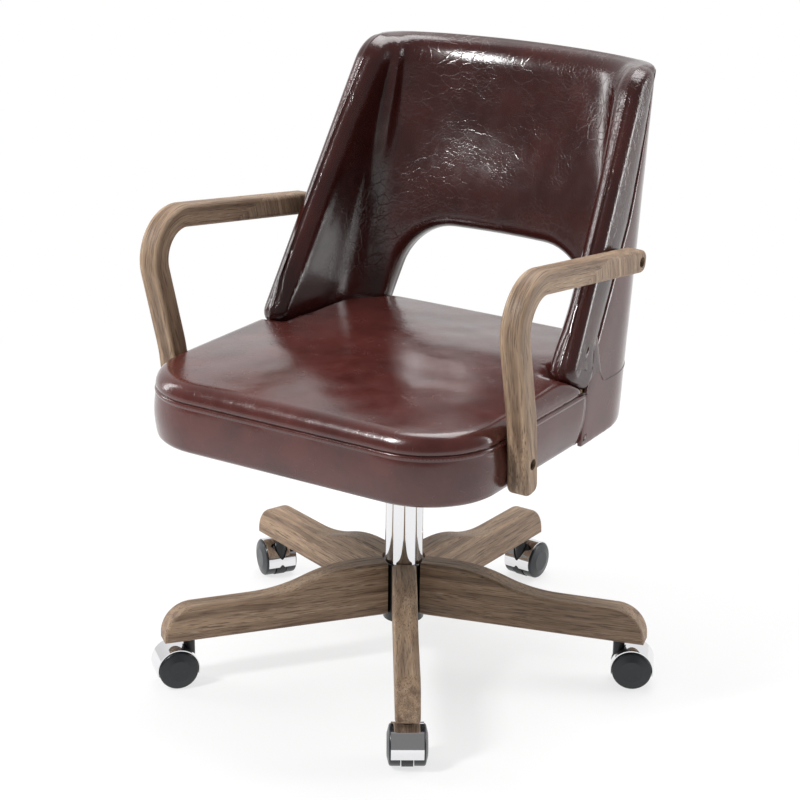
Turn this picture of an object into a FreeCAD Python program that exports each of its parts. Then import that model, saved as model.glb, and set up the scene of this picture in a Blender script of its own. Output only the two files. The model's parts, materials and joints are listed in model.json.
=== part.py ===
import FreeCAD, Part
import Sketcher
import math
import os

# Bankers swivel chair: padded seat and wrap-around back on bent wood arms, gas column, five-arm
# wood base on hooded twin-wheel casters. Millimetres, +Z up. The sitter faces -Y, so that the
# sitter's left is +X.
# The origin is on the floor under the column, and the lowest seat height is the rest position.

vec = FreeCAD.Vector
doc = FreeCAD.newDocument("bankers_swivel_chair")
sheet = doc.addObject("Spreadsheet::Sheet", "Sizes")

SIZES = [
    # base
    ("arm_count", 5, "arms of the base"),
    ("base_heading", -56.6, "direction of the first base arm, degrees from +X"),
    ("base_reach", 326.0, "end of a base arm from the column axis"),
    ("base_underside", 62.1, "underside of the base arms above the floor"),
    ("base_hub_top", 135.5, "top of a base arm at the hub"),
    ("base_waist_top", 108.5, "top of a base arm at its thin middle"),
    ("base_tip_top", 107.5, "top of a base arm near its end"),
    ("base_shoulder", 100.0, "where the tall end starts to fall, from the axis"),
    ("base_waist", 171.0, "where the thin middle starts, from the axis"),
    ("base_sweep", 200.0, "radius of the two sweeps of a base arm's top"),
    ("base_tip_round", 40.0, "radius of the end of a base arm"),
    ("base_arm_width", 31.2, "width of a base arm"),
    ("base_arm_ease", 4.0, "eased edge of a base arm"),
    ("hub_radius", 27.0, "outside of the hub"),
    ("hub_bottom", 51.9, "lowest edge of the hub"),
    ("hub_rim_drop", 3.0, "hub top below the top of the arms"),
    ("hub_bore_top", 22.0, "radius of the tapered hub bore at its top"),
    ("hub_bore_bottom", 21.0, "radius of the tapered hub bore at its bottom"),
    ("hub_screw_low", 80.0, "height of the lower hub screws"),
    ("hub_screw_high", 112.0, "height of the upper hub screws"),
    ("hub_screw_radius", 3.0, "shank radius of a hub screw"),
    ("hub_screw_length", 46.0, "shank length of a hub screw"),
    ("hub_screw_head", 5.5, "head radius of a hub screw"),
    ("hub_screw_head_thick", 2.6, "head thickness of a hub screw"),
    ("hub_screw_seat", 25.0, "radius from the axis at which the screw heads seat"),
    # column
    ("cover_radius", 25.0, "outside of the chrome column cover"),
    ("cover_wall", 1.5, "wall of the chrome column cover"),
    ("cover_room", 12.0, "chrome column cover below the seat plate's socket"),
    ("tube_wall", 2.5, "wall of the column tube"),
    ("tube_floor", 4.0, "thickness of the column tube's floor"),
    ("tube_room", 10.0, "column tube below the top of its cover"),
    ("bush_length", 62.0, "length of the guide bush"),
    ("bush_lip", 4.0, "lip of the guide bush above the tube"),
    ("rod_radius", 5.0, "radius of the piston rod"),
    ("piston_height", 10.0, "height of the piston head"),
    ("piston_gap", 2.0, "piston head below the cylinder's closed end at rest"),
    ("bearing_radius", 15.0, "outside of the thrust bearing"),
    ("bearing_height", 7.0, "height of the thrust bearing"),
    ("clip_radius", 9.0, "outside of the rod's retaining clip"),
    ("clip_thick", 1.5, "thickness of the rod's retaining clip"),
    ("cylinder_radius", 14.0, "outside of the gas cylinder"),
    ("cylinder_bore", 12.0, "bore radius of the gas cylinder"),
    ("cylinder_overrun", 14.0, "gas cylinder below its bush at full height"),
    ("cylinder_taper_top", 12.8, "radius of the gas cylinder at its top"),
    ("socket_height", 30.0, "height of the tapered socket on the cylinder"),
    ("cylinder_room", 30.0, "gas cylinder's top below the seat plate"),
    ("cylinder_cap", 16.0, "thickness of the gas cylinder's closed top"),
    ("seal_height", 14.0, "height of the cylinder's rod seal"),
    ("button_radius", 3.0, "radius of the release button"),
    ("button_rise", 6.7, "height of the release button above the cylinder"),
    ("button_travel", 4.2, "travel of the release button"),
    ("lift_stroke", 80.0, "stroke of the column"),
    ("running_gap", 0.05, "radial clearance of pins and shafts in their bores"),
    ("slide_gap", 0.1, "radial clearance of the cylinder in its bush"),
    ("part_gap", 0.3, "clearance between faces that move past each other"),
    # seat plate and lever
    ("plate_width", 170.0, "width of the seat plate"),
    ("plate_depth", 190.0, "depth of the seat plate"),
    ("plate_thick", 3.0, "thickness of the seat plate"),
    ("plate_corner", 18.0, "corner radius of the seat plate"),
    ("rib_height", 18.0, "height of the seat plate's turned-down sides"),
    ("boss_radius", 24.0, "outside of the seat plate's tapered socket"),
    ("boss_chamber", 17.0, "radius of the chamber above the taper"),
    ("window_half", 6.0, "half width of the lever's window in the socket"),
    ("lug_thick", 3.0, "thickness of the lugs that hold the lever's pin"),
    ("lug_half", 8.0, "half length of the lugs along the lever"),
    ("lug_below", 7.0, "lugs below the lever's pin"),
    ("lever_radius", 4.0, "radius of the height lever"),
    ("lever_tip", 4.0, "lever beyond the button's middle"),
    ("lever_pivot", 42.0, "pivot of the lever from the column axis"),
    ("lever_pin_radius", 2.0, "radius of the lever's pivot pin"),
    ("lever_bend", 58.0, "where the lever starts to slope down, from the column axis"),
    ("lever_slope", 44.0, "run of the sloping part of the lever"),
    ("lever_drop", 18.0, "drop of the lever's handle below its pivot"),
    ("lever_reach", 106.0, "length of the lever's handle"),
    ("lever_round", 14.0, "bend radius of the lever"),
    ("grip_radius", 7.0, "radius of the lever's grip"),
    ("grip_length", 64.0, "length of the lever's grip"),
    ("bolt_radius", 3.0, "radius of the seat plate bolts"),
    ("bolt_length", 14.0, "length of the seat plate bolts"),
    ("bolt_head", 6.0, "head radius of the seat plate bolts"),
    ("bolt_head_thick", 4.0, "head thickness of the seat plate bolts"),
    ("bolt_across", 64.0, "seat plate bolts to each side of the column axis"),
    ("bolt_along", 76.0, "seat plate bolts ahead of and behind the column axis"),
    # seat
    ("seat_half_width", 239.0, "half the width of the seat"),
    ("seat_front", 274.0, "front of the seat ahead of the axis"),
    ("seat_rear", 212.0, "rear of the cushion's top behind the axis"),
    ("seat_bottom", 336.0, "bottom edge of the seat"),
    ("seat_shoulder", 424.0, "top of the cushion at its edges"),
    ("seat_crown", 432.0, "top of the cushion at its middle"),
    ("seat_crown_along", 68.5, "highest line of the cushion ahead of the axis"),
    ("seat_rear_top", 420.0, "top of the cushion at its rear"),
    ("seat_step", 44.0, "where the cushion steps in between the padded sides, behind the axis"),
    ("seat_step_round", 25.0, "radius of the outer corners of that step"),
    ("seat_neck_round", 10.0, "radius of the inner corners of that step"),
    ("seat_neck_half", 201.0, "half width of the cushion just behind the step"),
    ("seat_rear_half", 171.0, "half width of the cushion at its rear"),
    ("seat_seam", 402.0, "height of the cushion's upper seam"),
    ("seat_corner", 96.0, "radius of the seat's front corners"),
    ("seat_rear_corner", 50.0, "radius of the cushion's rear corners"),
    ("seat_top_round", 21.0, "rolled upper edge of the cushion"),
    ("seat_hem_round", 8.0, "rounded lower edge of the seat"),
    ("hem_thick", 2.0, "leather turned under the seat board"),
    ("hem_width", 22.0, "width of the leather turned under the seat board"),
    ("frame_inset", 6.0, "seat frame inside the leather"),
    ("frame_rail", 24.0, "thickness of the seat frame's rails"),
    ("frame_height", 32.0, "height of the seat frame"),
    ("board_thick", 15.0, "thickness of the seat board"),
    ("dust_thick", 1.0, "thickness of the dust cover"),
    # back
    ("back_low_half", 241.0, "half width of the back at its bottom"),
    ("back_high_half", 213.0, "half width of the back at its top"),
    ("back_low_turn", 99.0, "where the sides start to turn at the bottom, behind the axis"),
    ("back_high_turn", 229.0, "where the sides start to turn at the top, behind the axis"),
    ("back_low_corner", 120.0, "plan radius of the back's corners at the bottom"),
    ("back_high_corner", 60.0, "plan radius of the back's corners at the top"),
    ("back_corner_end", 17.0, "angle at which the corners give way to the rear, degrees"),
    ("back_bottom", 334.0, "bottom edge of the back"),
    ("back_top", 770.0, "top edge of the back"),
    ("back_thick", 36.0, "thickness of the padded back"),
    ("panel_thick", 5.0, "thickness of the outer back panel"),
    ("panel_drop", 8.0, "outer panel below the top of the padded back"),
    ("shell_thick", 11.0, "thickness of the back's plywood shell"),
    ("shell_drop", 24.0, "shell below the top of the padded back"),
    ("shell_setback", 30.0, "front edge of the shell behind the front edge of the padded sides"),
    ("pad_bottom", 396.0, "bottom of the padding of the back"),
    ("wing_heel", 46.0, "front edge of the sides at the padding's bottom, behind the axis"),
    ("wing_toe", 0.0, "furthest forward corner of the sides, behind the axis"),
    ("wing_toe_height", 424.0, "height of the sides' furthest forward corner"),
    ("wing_toe_round", 20.0, "radius of the sides' forward corner"),
    ("wing_head", 211.0, "front edge of the sides carried up to the top, behind the axis"),
    ("wing_head_round", 45.0, "radius of the front edge where it meets the top"),
    ("edge_round", 13.0, "rolled edge of the padded back"),
    ("seam_foot", 21.0, "side seam at the bottom edge, behind the axis"),
    ("seam_step", 39.0, "side seam at the padding's bottom, behind the axis"),
    ("seam_hip", 56.0, "lower turn of the side seam, behind the axis"),
    ("seam_hip_height", 430.0, "height of the side seam's lower turn"),
    ("seam_waist", 165.0, "upper turn of the side seam, behind the axis"),
    ("seam_waist_height", 592.0, "height of the side seam's upper turn"),
    ("seam_head", 246.0, "side seam at the top, behind the axis"),
    ("seam_slot", 2.0, "open slot along the side seam"),
    ("hole_half", 168.0, "half width of the opening in the back at its bottom"),
    ("hole_top", 522.0, "top of the opening in the back"),
    ("hole_bottom", 400.0, "bottom of the opening in the back"),
    ("hole_corner", 84.0, "radius of the opening's upper corners"),
    ("hole_lean", 32.0, "how much the opening's sides draw in towards its top"),
    ("hole_edge", 8.0, "padding round the opening"),
    ("hole_depth", 190.0, "where the opening's width is taken, behind the axis"),
    ("hole_flare", 28.0, "how much the opening's sides spread to the rear, degrees"),
    ("screw_radius", 2.5, "shank radius of the screws between back and seat"),
    ("screw_length", 30.0, "shank length of the screws between back and seat"),
    ("screw_head", 4.5, "head radius of the screws between back and seat"),
    ("screw_head_thick", 2.0, "head thickness of the screws between back and seat"),
    ("screw_sink", 3.0, "how deep the screw heads seat in the shell"),
    ("screw_near", 76.0, "forward side screws, behind the axis"),
    ("screw_far", 112.0, "rear side screws, behind the axis"),
    ("screw_rear", 96.0, "outer rear screws from the middle of the chair"),
    # armrests
    ("rest_width", 29.0, "width of an armrest"),
    ("rest_thick", 29.0, "thickness of an armrest"),
    ("rest_ease", 6.0, "eased edge of an armrest"),
    ("rest_spread", 254.3, "armrest from the middle of the chair at its lower end"),
    ("rest_toe", 1.7, "turn of an armrest towards the back, degrees"),
    ("rest_lean", 1.15, "outward lean of an armrest, degrees"),
    ("rest_foot_back", -144.5, "lower end of an armrest, behind the axis"),
    ("rest_foot_height", 333.0, "lower end of an armrest above the floor"),
    ("rest_rake", 6.0, "forward rake of an armrest's post, degrees"),
    ("rest_post", 87.5, "length of the post up to its knee"),
    ("rest_knee", 8.3, "turn at the knee, degrees"),
    ("rest_knee_round", 230.0, "radius of the knee"),
    ("rest_riser", 185.0, "length from the knee to the elbow"),
    ("rest_elbow", 112.5, "turn at the elbow, degrees"),
    ("rest_elbow_round", 50.0, "radius of the elbow"),
    ("rest_pad", 342.0, "length from the elbow to the rear end"),
    ("rest_end_round", 11.0, "rounded ends of an armrest"),
    ("rest_bolt_rise", 3.8, "lower armrest bolt above the middle of the seat frame's rails"),
    ("rest_bolt_high", 15.0, "rear bolt from the rear end, along the pad"),
    ("rest_bolt_radius", 3.5, "radius of the armrest bolts"),
    ("rest_bolt_head", 6.5, "head radius of the armrest bolts"),
    ("rest_bolt_sink", 9.0, "depth of the counterbore in the armrest"),
    ("rest_bolt_length", 46.0, "shank length of the armrest bolts"),
    ("spacer_radius", 11.0, "radius of the spacers behind the armrests"),
    # casters
    ("stem_inset", 34.0, "caster stem in from the end of a base arm"),
    ("wheel_radius", 25.7, "radius of a caster wheel"),
    ("wheel_face", 25.0, "outer face of a wheel from the caster's middle"),
    ("wheel_width", 16.5, "width of a wheel"),
    ("wheel_flat", 14.1, "radius of the flat middle of a wheel's outer face"),
    ("wheel_dome", 3.0, "dome of a wheel's outer face"),
    ("axle_trail", 18.3, "axle behind the stem"),
    ("axle_radius", 3.0, "radius of the axle"),
    ("web_half", 7.0, "half thickness of the caster housing's web"),
    ("hood_gap", 0.8, "hood outside the wheels"),
    ("hood_wall", 1.3, "wall of the hood"),
    ("hood_half", 20.0, "half width of the hood"),
    ("hood_start", -14.0, "lower end of the hood behind the axle, degrees from level"),
    ("hood_stop", 196.0, "lower end of the hood at the stem side, degrees from level"),
    ("post_radius", 7.4, "radius of the caster housing's post"),
    ("post_recess", 9.2, "radius of the hood's recess round the post"),
    ("stem_radius", 5.0, "radius of the caster stem"),
    ("stem_height", 30.0, "height of the stem above the arm's underside"),
    ("stem_seat", 34.0, "height of the stem's lower end above the floor"),
    ("post_floor", 6.0, "post below the stem's lower end"),
    ("axle_cover", 4.0, "wheel wall over the end of the axle"),
    ("wheel_shoulder", 3.0, "rounded shoulder of a wheel"),
    ("sleeve_wall", 1.5, "wall of the socket sleeve"),
    ("sleeve_flange", 9.0, "radius of the socket sleeve's flange"),
    ("sleeve_flange_thick", 1.2, "thickness of the socket sleeve's flange"),
]

# How each caster stands at rest, in degrees from straight out along its arm.
CASTER_TURN = (0.0, 9.7, -1.0, -14.6, -1.0)

for row, (alias, number, meaning) in enumerate(SIZES, start=1):
    sheet.set("A%d" % row, meaning)
    sheet.set("B%d" % row, str(number))
    sheet.setAlias("B%d" % row, alias)
doc.recompute()


def size(expression):
    """Value of a size, or of a formula of sizes, from the sheet."""
    return float(sheet.evalExpression(expression))


def bound(expression):
    """The formula with every size name pointing into the sheet."""
    text = ""
    word = ""
    for letter in expression + " ":
        if letter.isalnum() or letter == "_":
            word += letter
            continue
        text += "Sizes." + word if word in ALIASES else word
        text += letter
        word = ""
    return text.strip()


ALIASES = set(row[0] for row in SIZES)
CLOSE = 0.01    # two places nearer than this are the same


# Sketches

def origin_plane(body, role):
    return [item for item in body.Origin.OriginFeatures if item.Role == role][0]


def new_body(label):
    body = doc.addObject("PartDesign::Body", label)
    body.Label = label
    return body


def new_sketch(body, role, name, offset=None):
    """Sketch on a body's origin plane, moved along its normal by a formula of sizes."""
    sketch = body.newObject("Sketcher::SketchObject", name)
    sketch.AttachmentSupport = [(origin_plane(body, role), "")]
    sketch.MapMode = "FlatFace"
    if offset:
        sketch.setExpression("AttachmentOffset.Base.z", bound(offset))
    return sketch


def fix(sketch, kind, *place):
    """Distance from the sketch's origin, or a radius, held by a formula of sizes."""
    formula = place[-1]
    constraint = Sketcher.Constraint(kind, *place[:-1], size(formula))
    index = sketch.addConstraint(constraint)
    sketch.setExpression("Constraints[%d]" % index, bound(formula))


def outline(sketch, corners, closed=True):
    """Straight runs through corners (across, up) or (across, up, radius), with tangent arcs
    where a radius is given. Every corner and radius is a formula of sizes."""
    count = len(corners)
    places = [vec(size(corner[0]), size(corner[1]), 0) for corner in corners]
    rounds = [size(corner[2]) if len(corner) > 2 else 0 for corner in corners]
    starts = []
    ends = []
    for index, place in enumerate(places):
        if not rounds[index]:
            starts.append(place)
            ends.append(place)
            continue
        before = (places[index - 1] - place).normalize()
        after = (places[(index + 1) % count] - place).normalize()
        setback = rounds[index] / math.tan(before.getAngle(after) / 2)
        starts.append(place + before * setback)
        ends.append(place + after * setback)
    lines = []
    for index in range(count if closed else count - 1):
        run = Part.LineSegment(ends[index], starts[(index + 1) % count])
        lines.append(sketch.addGeometry(run, False))
    for index in range(count):
        has_before = closed or index > 0
        has_after = closed or index < count - 1
        before = lines[index - 1] if has_before else None
        after = lines[index] if has_after else None
        corner = corners[index]
        if rounds[index]:
            round_corner(sketch, before, after, corner, places[index],
                         starts[index], ends[index], rounds[index])
            continue
        holder, point = (after, 1) if has_after else (before, 2)
        fix(sketch, "DistanceX", -1, 1, holder, point, corner[0])
        fix(sketch, "DistanceY", -1, 1, holder, point, corner[1])
        if has_before and has_after:
            sketch.addConstraint(Sketcher.Constraint("Coincident", before, 2, after, 1))


def round_corner(sketch, before, after, corner, place, start, end, radius):
    """Arc tangent to the runs before and after a corner, which stays as a construction point."""
    point = sketch.addGeometry(Part.Point(place), True)
    fix(sketch, "DistanceX", -1, 1, point, 1, corner[0])
    fix(sketch, "DistanceY", -1, 1, point, 1, corner[1])
    sketch.addConstraint(Sketcher.Constraint("PointOnObject", point, 1, before))
    sketch.addConstraint(Sketcher.Constraint("PointOnObject", point, 1, after))
    inward = ((start - place).normalize() + (end - place).normalize()).normalize()
    half_angle = (start - place).getAngle(end - place) / 2
    centre = place + inward * (radius / math.sin(half_angle))
    first = math.atan2(start.y - centre.y, start.x - centre.x)
    last = math.atan2(end.y - centre.y, end.x - centre.x)
    turn = (start - centre).cross(end - centre).z
    circle = Part.Circle(centre, vec(0, 0, 1), radius)
    if turn > 0:
        arc = sketch.addGeometry(Part.ArcOfCircle(circle, first, last), False)
        arc_start, arc_end = 1, 2
    else:
        arc = sketch.addGeometry(Part.ArcOfCircle(circle, last, first), False)
        arc_start, arc_end = 2, 1
    sketch.addConstraint(Sketcher.Constraint("Tangent", before, 2, arc, arc_start))
    sketch.addConstraint(Sketcher.Constraint("Tangent", arc, arc_end, after, 1))
    fix(sketch, "Radius", arc, corner[2])


def circle_at(sketch, across, up, radius):
    circle = Part.Circle(vec(size(across), size(up), 0), vec(0, 0, 1), size(radius))
    index = sketch.addGeometry(circle, False)
    fix(sketch, "DistanceX", -1, 1, index, 3, across)
    fix(sketch, "DistanceY", -1, 1, index, 3, up)
    fix(sketch, "Radius", index, radius)


def pad(body, sketch, name, length, both_ways=False, reverse=False):
    feature = body.newObject("PartDesign::Pad", name)
    feature.Profile = sketch
    feature.SideType = "Symmetric" if both_ways else "One side"
    feature.Reversed = reverse
    feature.setExpression("Length", bound(length))
    return feature


def pocket(body, sketch, name, length, both_ways=False, reverse=False):
    feature = body.newObject("PartDesign::Pocket", name)
    feature.Profile = sketch
    feature.SideType = "Symmetric" if both_ways else "One side"
    feature.Reversed = reverse
    feature.setExpression("Length", bound(length))
    return feature


def turned(label, corners):
    """Body turned about the vertical axis from a half section of (radius, height) corners."""
    body = new_body(label)
    sketch = new_sketch(body, "XZ_Plane", label + "_section")
    outline(sketch, corners)
    spin = body.newObject("PartDesign::Revolution", label + "_turned")
    spin.Profile = sketch
    spin.ReferenceAxis = (sketch, ["V_Axis"])
    spin.Angle = 360
    return body


def edges_of_faces(shape, keep):
    """Names of the edges of the faces that keep() picks."""
    names = []
    for face in shape.Faces:
        if not keep(face):
            continue
        for index, edge in enumerate(shape.Edges, start=1):
            if any(edge.isSame(other) for other in face.Edges):
                names.append("Edge%d" % index)
    return sorted(set(names), key=lambda name: int(name[4:]))


def fillet(body, name, edges, radius):
    base = body.Tip
    feature = body.newObject("PartDesign::Fillet", name)
    feature.Base = (base, edges)
    feature.setExpression("Radius", bound(radius))
    return feature


def shape_node(label, shape):
    """Sub-part whose shape is made directly from the sizes."""
    feature = doc.addObject("Part::Feature", label)
    feature.Label = label
    feature.Shape = shape
    return feature


def turn_about_axis(degrees):
    return FreeCAD.Placement(vec(0, 0, 0), FreeCAD.Rotation(vec(0, 0, 1), degrees))


NODES = []


def keep(node):
    NODES.append(node)
    return node


# Base

def make_hub():
    hub = turned("hub", [
        ("hub_bore_bottom", "hub_bottom"), ("hub_radius", "hub_bottom"),
        ("hub_radius", "base_hub_top - hub_rim_drop"),
        ("hub_bore_top", "base_hub_top - hub_rim_drop")])
    cuts = []
    for name, radius, depth in (("seats", "hub_screw_head + part_gap", "hub_screw_seat"),
                                ("holes", "hub_screw_radius", "hub_radius * 2")):
        sketch = new_sketch(hub, "YZ_Plane", "hub_" + name)
        circle_at(sketch, "0", "hub_screw_low", radius)
        circle_at(sketch, "0", "hub_screw_high", radius)
        cuts.append(pocket(hub, sketch, "hub_" + name + "_cut", depth, reverse=True))
    ring = hub.newObject("PartDesign::PolarPattern", "hub_ring")
    ring.Originals = cuts
    ring.Axis = (origin_axis(hub, "Z_Axis"), [""])
    ring.Angle = 360
    ring.setExpression("Occurrences", bound("arm_count"))
    hub.Tip = ring
    hub.setExpression("Placement.Rotation.Angle", bound("base_heading"))
    return keep(hub)


def origin_axis(body, role):
    return [item for item in body.Origin.OriginFeatures if item.Role == role][0]


def arm_heading(number):
    return size("base_heading") + (number - 1) * 360 / size("arm_count")


def make_base_arm(number):
    label = "base_arm_%d" % number
    arm = new_body(label)
    side = new_sketch(arm, "XZ_Plane", label + "_side")
    outline(side, [
        ("hub_radius", "base_underside"), ("base_reach", "base_underside"),
        ("base_reach", "base_tip_top", "base_tip_round"),
        ("base_waist", "base_waist_top", "base_sweep"),
        ("base_shoulder", "base_hub_top", "base_sweep"),
        ("hub_radius", "base_hub_top")])
    pad(arm, side, label + "_blank", "base_arm_width", both_ways=True)
    doc.recompute()
    half = size("base_arm_width") / 2
    inner = size("hub_radius + base_arm_ease")

    def side_face(face):
        return abs(abs(face.CenterOfMass.y) - half) < CLOSE

    eased = [name for name in edges_of_faces(arm.Tip.Shape, side_face)
             if arm.Tip.Shape.getElement(name).BoundBox.XMax > inner]
    fillet(arm, label + "_eased", eased, "base_arm_ease")
    socket = new_sketch(arm, "XY_Plane", label + "_socket", "base_underside")
    circle_at(socket, "base_reach - stem_inset", "0", "stem_radius + running_gap + sleeve_wall")
    pocket(arm, socket, label + "_socket_hole", "stem_height + 2 * sleeve_wall", reverse=True)
    screws = new_sketch(arm, "YZ_Plane", label + "_screws")
    circle_at(screws, "0", "hub_screw_low", "hub_screw_radius")
    circle_at(screws, "0", "hub_screw_high", "hub_screw_radius")
    pocket(arm, screws, label + "_screw_holes", "hub_screw_seat + hub_screw_length", reverse=True)
    arm.Placement = turn_about_axis(arm_heading(number))
    return keep(arm)


def headed_bolt(label, shank_radius, shank_length, head_radius, head_thick):
    """Bolt along +Z with the underside of its head at the origin."""
    return turned(label, [
        ("0", "-(%s)" % head_thick), (head_radius, "-(%s)" % head_thick), (head_radius, "0"),
        (shank_radius, "0"), (shank_radius, shank_length), ("0", shank_length)])


def many(label, pattern, places):
    """One node of identical separate solids, a copy of the pattern at each placement."""
    doc.recompute()
    copies = []
    for place in places:
        copy = pattern.Shape.copy()
        copy.Placement = place
        copies.append(copy)
    return keep(shape_node(label, Part.makeCompound(copies)))


def make_hub_screws():
    screw = headed_bolt("hub_screw_pattern", "hub_screw_radius", "hub_screw_length",
                        "hub_screw_head", "hub_screw_head_thick")
    places = []
    outward = FreeCAD.Rotation(vec(0, 0, 1), vec(1, 0, 0))
    for number in range(1, int(size("arm_count")) + 1):
        for height in (size("hub_screw_low"), size("hub_screw_high")):
            seat = FreeCAD.Placement(vec(size("hub_screw_seat"), 0, height), outward)
            places.append(turn_about_axis(arm_heading(number)) * seat)
    return many("hub_screws", screw, places)


# Column

def plate_under():
    return "seat_bottom + hem_thick - dust_thick - plate_thick"


def cylinder_top():
    return plate_under() + " - cylinder_room"


def socket_bottom():
    return cylinder_top() + " - socket_height"


def cover_top():
    return socket_bottom() + " - cover_room"


def tube_top():
    return cover_top() + " - tube_room"


def make_column():
    foot = "base_hub_top - hub_rim_drop"
    keep(turned("column_cover", [
        ("cover_radius - cover_wall", foot), ("cover_radius", foot),
        ("cover_radius", cover_top()), ("cover_radius - cover_wall", cover_top())]))
    keep(turned("column_tube", [
        ("rod_radius + running_gap", "hub_bottom"), ("hub_bore_bottom", "hub_bottom"),
        ("hub_bore_top", foot), ("hub_bore_top", tube_top()),
        ("hub_bore_bottom - tube_wall", tube_top()),
        ("hub_bore_bottom - tube_wall", "hub_bottom + tube_floor"),
        ("rod_radius + running_gap", "hub_bottom + tube_floor")]))
    bush_side = "hub_bore_bottom - tube_wall"
    bush_bottom = tube_top() + " - bush_length"
    bush_top = tube_top() + " + bush_lip"
    keep(turned("guide_bush", [
        ("cylinder_radius + slide_gap", bush_bottom), (bush_side, bush_bottom),
        (bush_side, tube_top()), ("cover_radius - cover_wall", tube_top()),
        ("cover_radius - cover_wall", bush_top), ("cylinder_radius + slide_gap", bush_top)]))
    keep(turned("rod_clip", [
        ("rod_radius", "hub_bottom - part_gap - clip_thick"),
        ("clip_radius", "hub_bottom - part_gap - clip_thick"),
        ("clip_radius", "hub_bottom - part_gap"), ("rod_radius", "hub_bottom - part_gap")]))
    bearing_foot = "hub_bottom + tube_floor"
    keep(turned("thrust_bearing", [
        ("rod_radius", bearing_foot), ("bearing_radius", bearing_foot),
        ("bearing_radius", bearing_foot + " + bearing_height"),
        ("rod_radius", bearing_foot + " + bearing_height")]))
    top = cylinder_top()
    closed_end = top + " - cylinder_cap"
    piston_top = closed_end + " - piston_gap"
    rod_foot = "hub_bottom - 2 * clip_thick - part_gap"
    keep(turned("piston_rod", [
        ("0", rod_foot), ("rod_radius", rod_foot), ("rod_radius", piston_top + " - piston_height"),
        ("cylinder_bore - slide_gap", piston_top + " - piston_height"),
        ("cylinder_bore - slide_gap", piston_top), ("0", piston_top)]))
    bottom = bush_bottom + " - lift_stroke - cylinder_overrun"
    keep(turned("gas_cylinder", [
        ("rod_radius + running_gap", bottom), ("cylinder_radius", bottom),
        ("cylinder_radius", socket_bottom()), ("cylinder_taper_top", top),
        ("button_radius + running_gap", top), ("button_radius + running_gap", closed_end),
        ("cylinder_bore", closed_end), ("cylinder_bore", bottom + " + seal_height"),
        ("rod_radius + running_gap", bottom + " + seal_height")]))
    button_foot = closed_end + " + button_travel + part_gap"
    button_top = top + " + button_rise"
    keep(turned("release_button", [
        ("0", button_foot), ("button_radius", button_foot),
        ("button_radius", button_top), ("0", button_top)]))


# Casters: the stem is on the local Z axis, the axle behind it on +X, wheels to each side in Y

def caster_place(number):
    to_stem = FreeCAD.Placement(vec(size("base_reach - stem_inset"), 0, 0), FreeCAD.Rotation())
    return (turn_about_axis(arm_heading(number)) * to_stem
            * turn_about_axis(CASTER_TURN[number - 1]))


def make_wheel(label, side):
    """Wheel turned about its axle, domed on its outer face and bored from its inner face."""
    wheel = new_body(label)
    sketch = new_sketch(wheel, "XY_Plane", label + "_section")
    inner = "wheel_face - wheel_width"
    outline(sketch, [
        ("axle_radius + running_gap", inner), ("wheel_radius", inner),
        ("wheel_radius", "wheel_face - wheel_dome", "wheel_shoulder"),
        ("wheel_flat", "wheel_face"),
        ("0", "wheel_face"), ("0", "wheel_face - axle_cover"),
        ("axle_radius + running_gap", "wheel_face - axle_cover")])
    spin = wheel.newObject("PartDesign::Revolution", label + "_turned")
    spin.Profile = sketch
    spin.ReferenceAxis = (sketch, ["V_Axis"])
    spin.Angle = 360
    on_axle = FreeCAD.Placement(vec(size("axle_trail"), 0, size("wheel_radius")),
                                FreeCAD.Rotation(vec(0, 0, 1), 0 if side > 0 else 180))
    return wheel, on_axle


def make_housing(label):
    """Web between the wheels, with the post that stands in the hood's recess."""
    housing = new_body(label)
    web = new_sketch(housing, "XZ_Plane", label + "_web_outline")
    circle_at(web, "axle_trail", "wheel_radius", "wheel_radius + hood_gap")
    pad(housing, web, label + "_web", "web_half * 2", both_ways=True)
    post = new_sketch(housing, "XY_Plane", label + "_post_outline", "stem_seat - post_floor")
    circle_at(post, "0", "0", "post_radius")
    pad(housing, post, label + "_post",
        "base_underside - sleeve_flange_thick - part_gap - stem_seat + post_floor")
    bore = new_sketch(housing, "XY_Plane", label + "_stem_bore", "stem_seat")
    circle_at(bore, "0", "0", "stem_radius")
    pocket(housing, bore, label + "_stem_hole", "base_underside", reverse=True)
    axle = new_sketch(housing, "XZ_Plane", label + "_axle_bore")
    circle_at(axle, "axle_trail", "wheel_radius", "axle_radius")
    pocket(housing, axle, label + "_axle_hole", "wheel_face * 2", both_ways=True)
    return housing


def make_hood(label):
    """Arc shell about the axle, open below and cut away round the post."""
    hood = new_body(label)
    ring = new_sketch(hood, "XZ_Plane", label + "_ring")
    circle_at(ring, "axle_trail", "wheel_radius", "wheel_radius + hood_gap + hood_wall")
    circle_at(ring, "axle_trail", "wheel_radius", "wheel_radius + hood_gap")
    pad(hood, ring, label + "_shell", "hood_half * 2", both_ways=True)
    reach = "wheel_radius * 2"
    start_across = "axle_trail + %s * cos(hood_start)" % reach
    stop_across = "axle_trail + %s * cos(hood_stop)" % reach
    below = "0 - wheel_radius"
    opening = new_sketch(hood, "XZ_Plane", label + "_opening_outline")
    outline(opening, [
        ("axle_trail", "wheel_radius"),
        (stop_across, "wheel_radius + %s * sin(hood_stop)" % reach), (stop_across, below),
        (start_across, below), (start_across, "wheel_radius + %s * sin(hood_start)" % reach)])
    pocket(hood, opening, label + "_opening", "hood_half * 3", both_ways=True)
    recess = new_sketch(hood, "XY_Plane", label + "_recess_outline")
    circle_at(recess, "0", "0", "post_recess")
    pocket(hood, recess, label + "_recess", "base_underside", reverse=True)
    return hood


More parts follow.
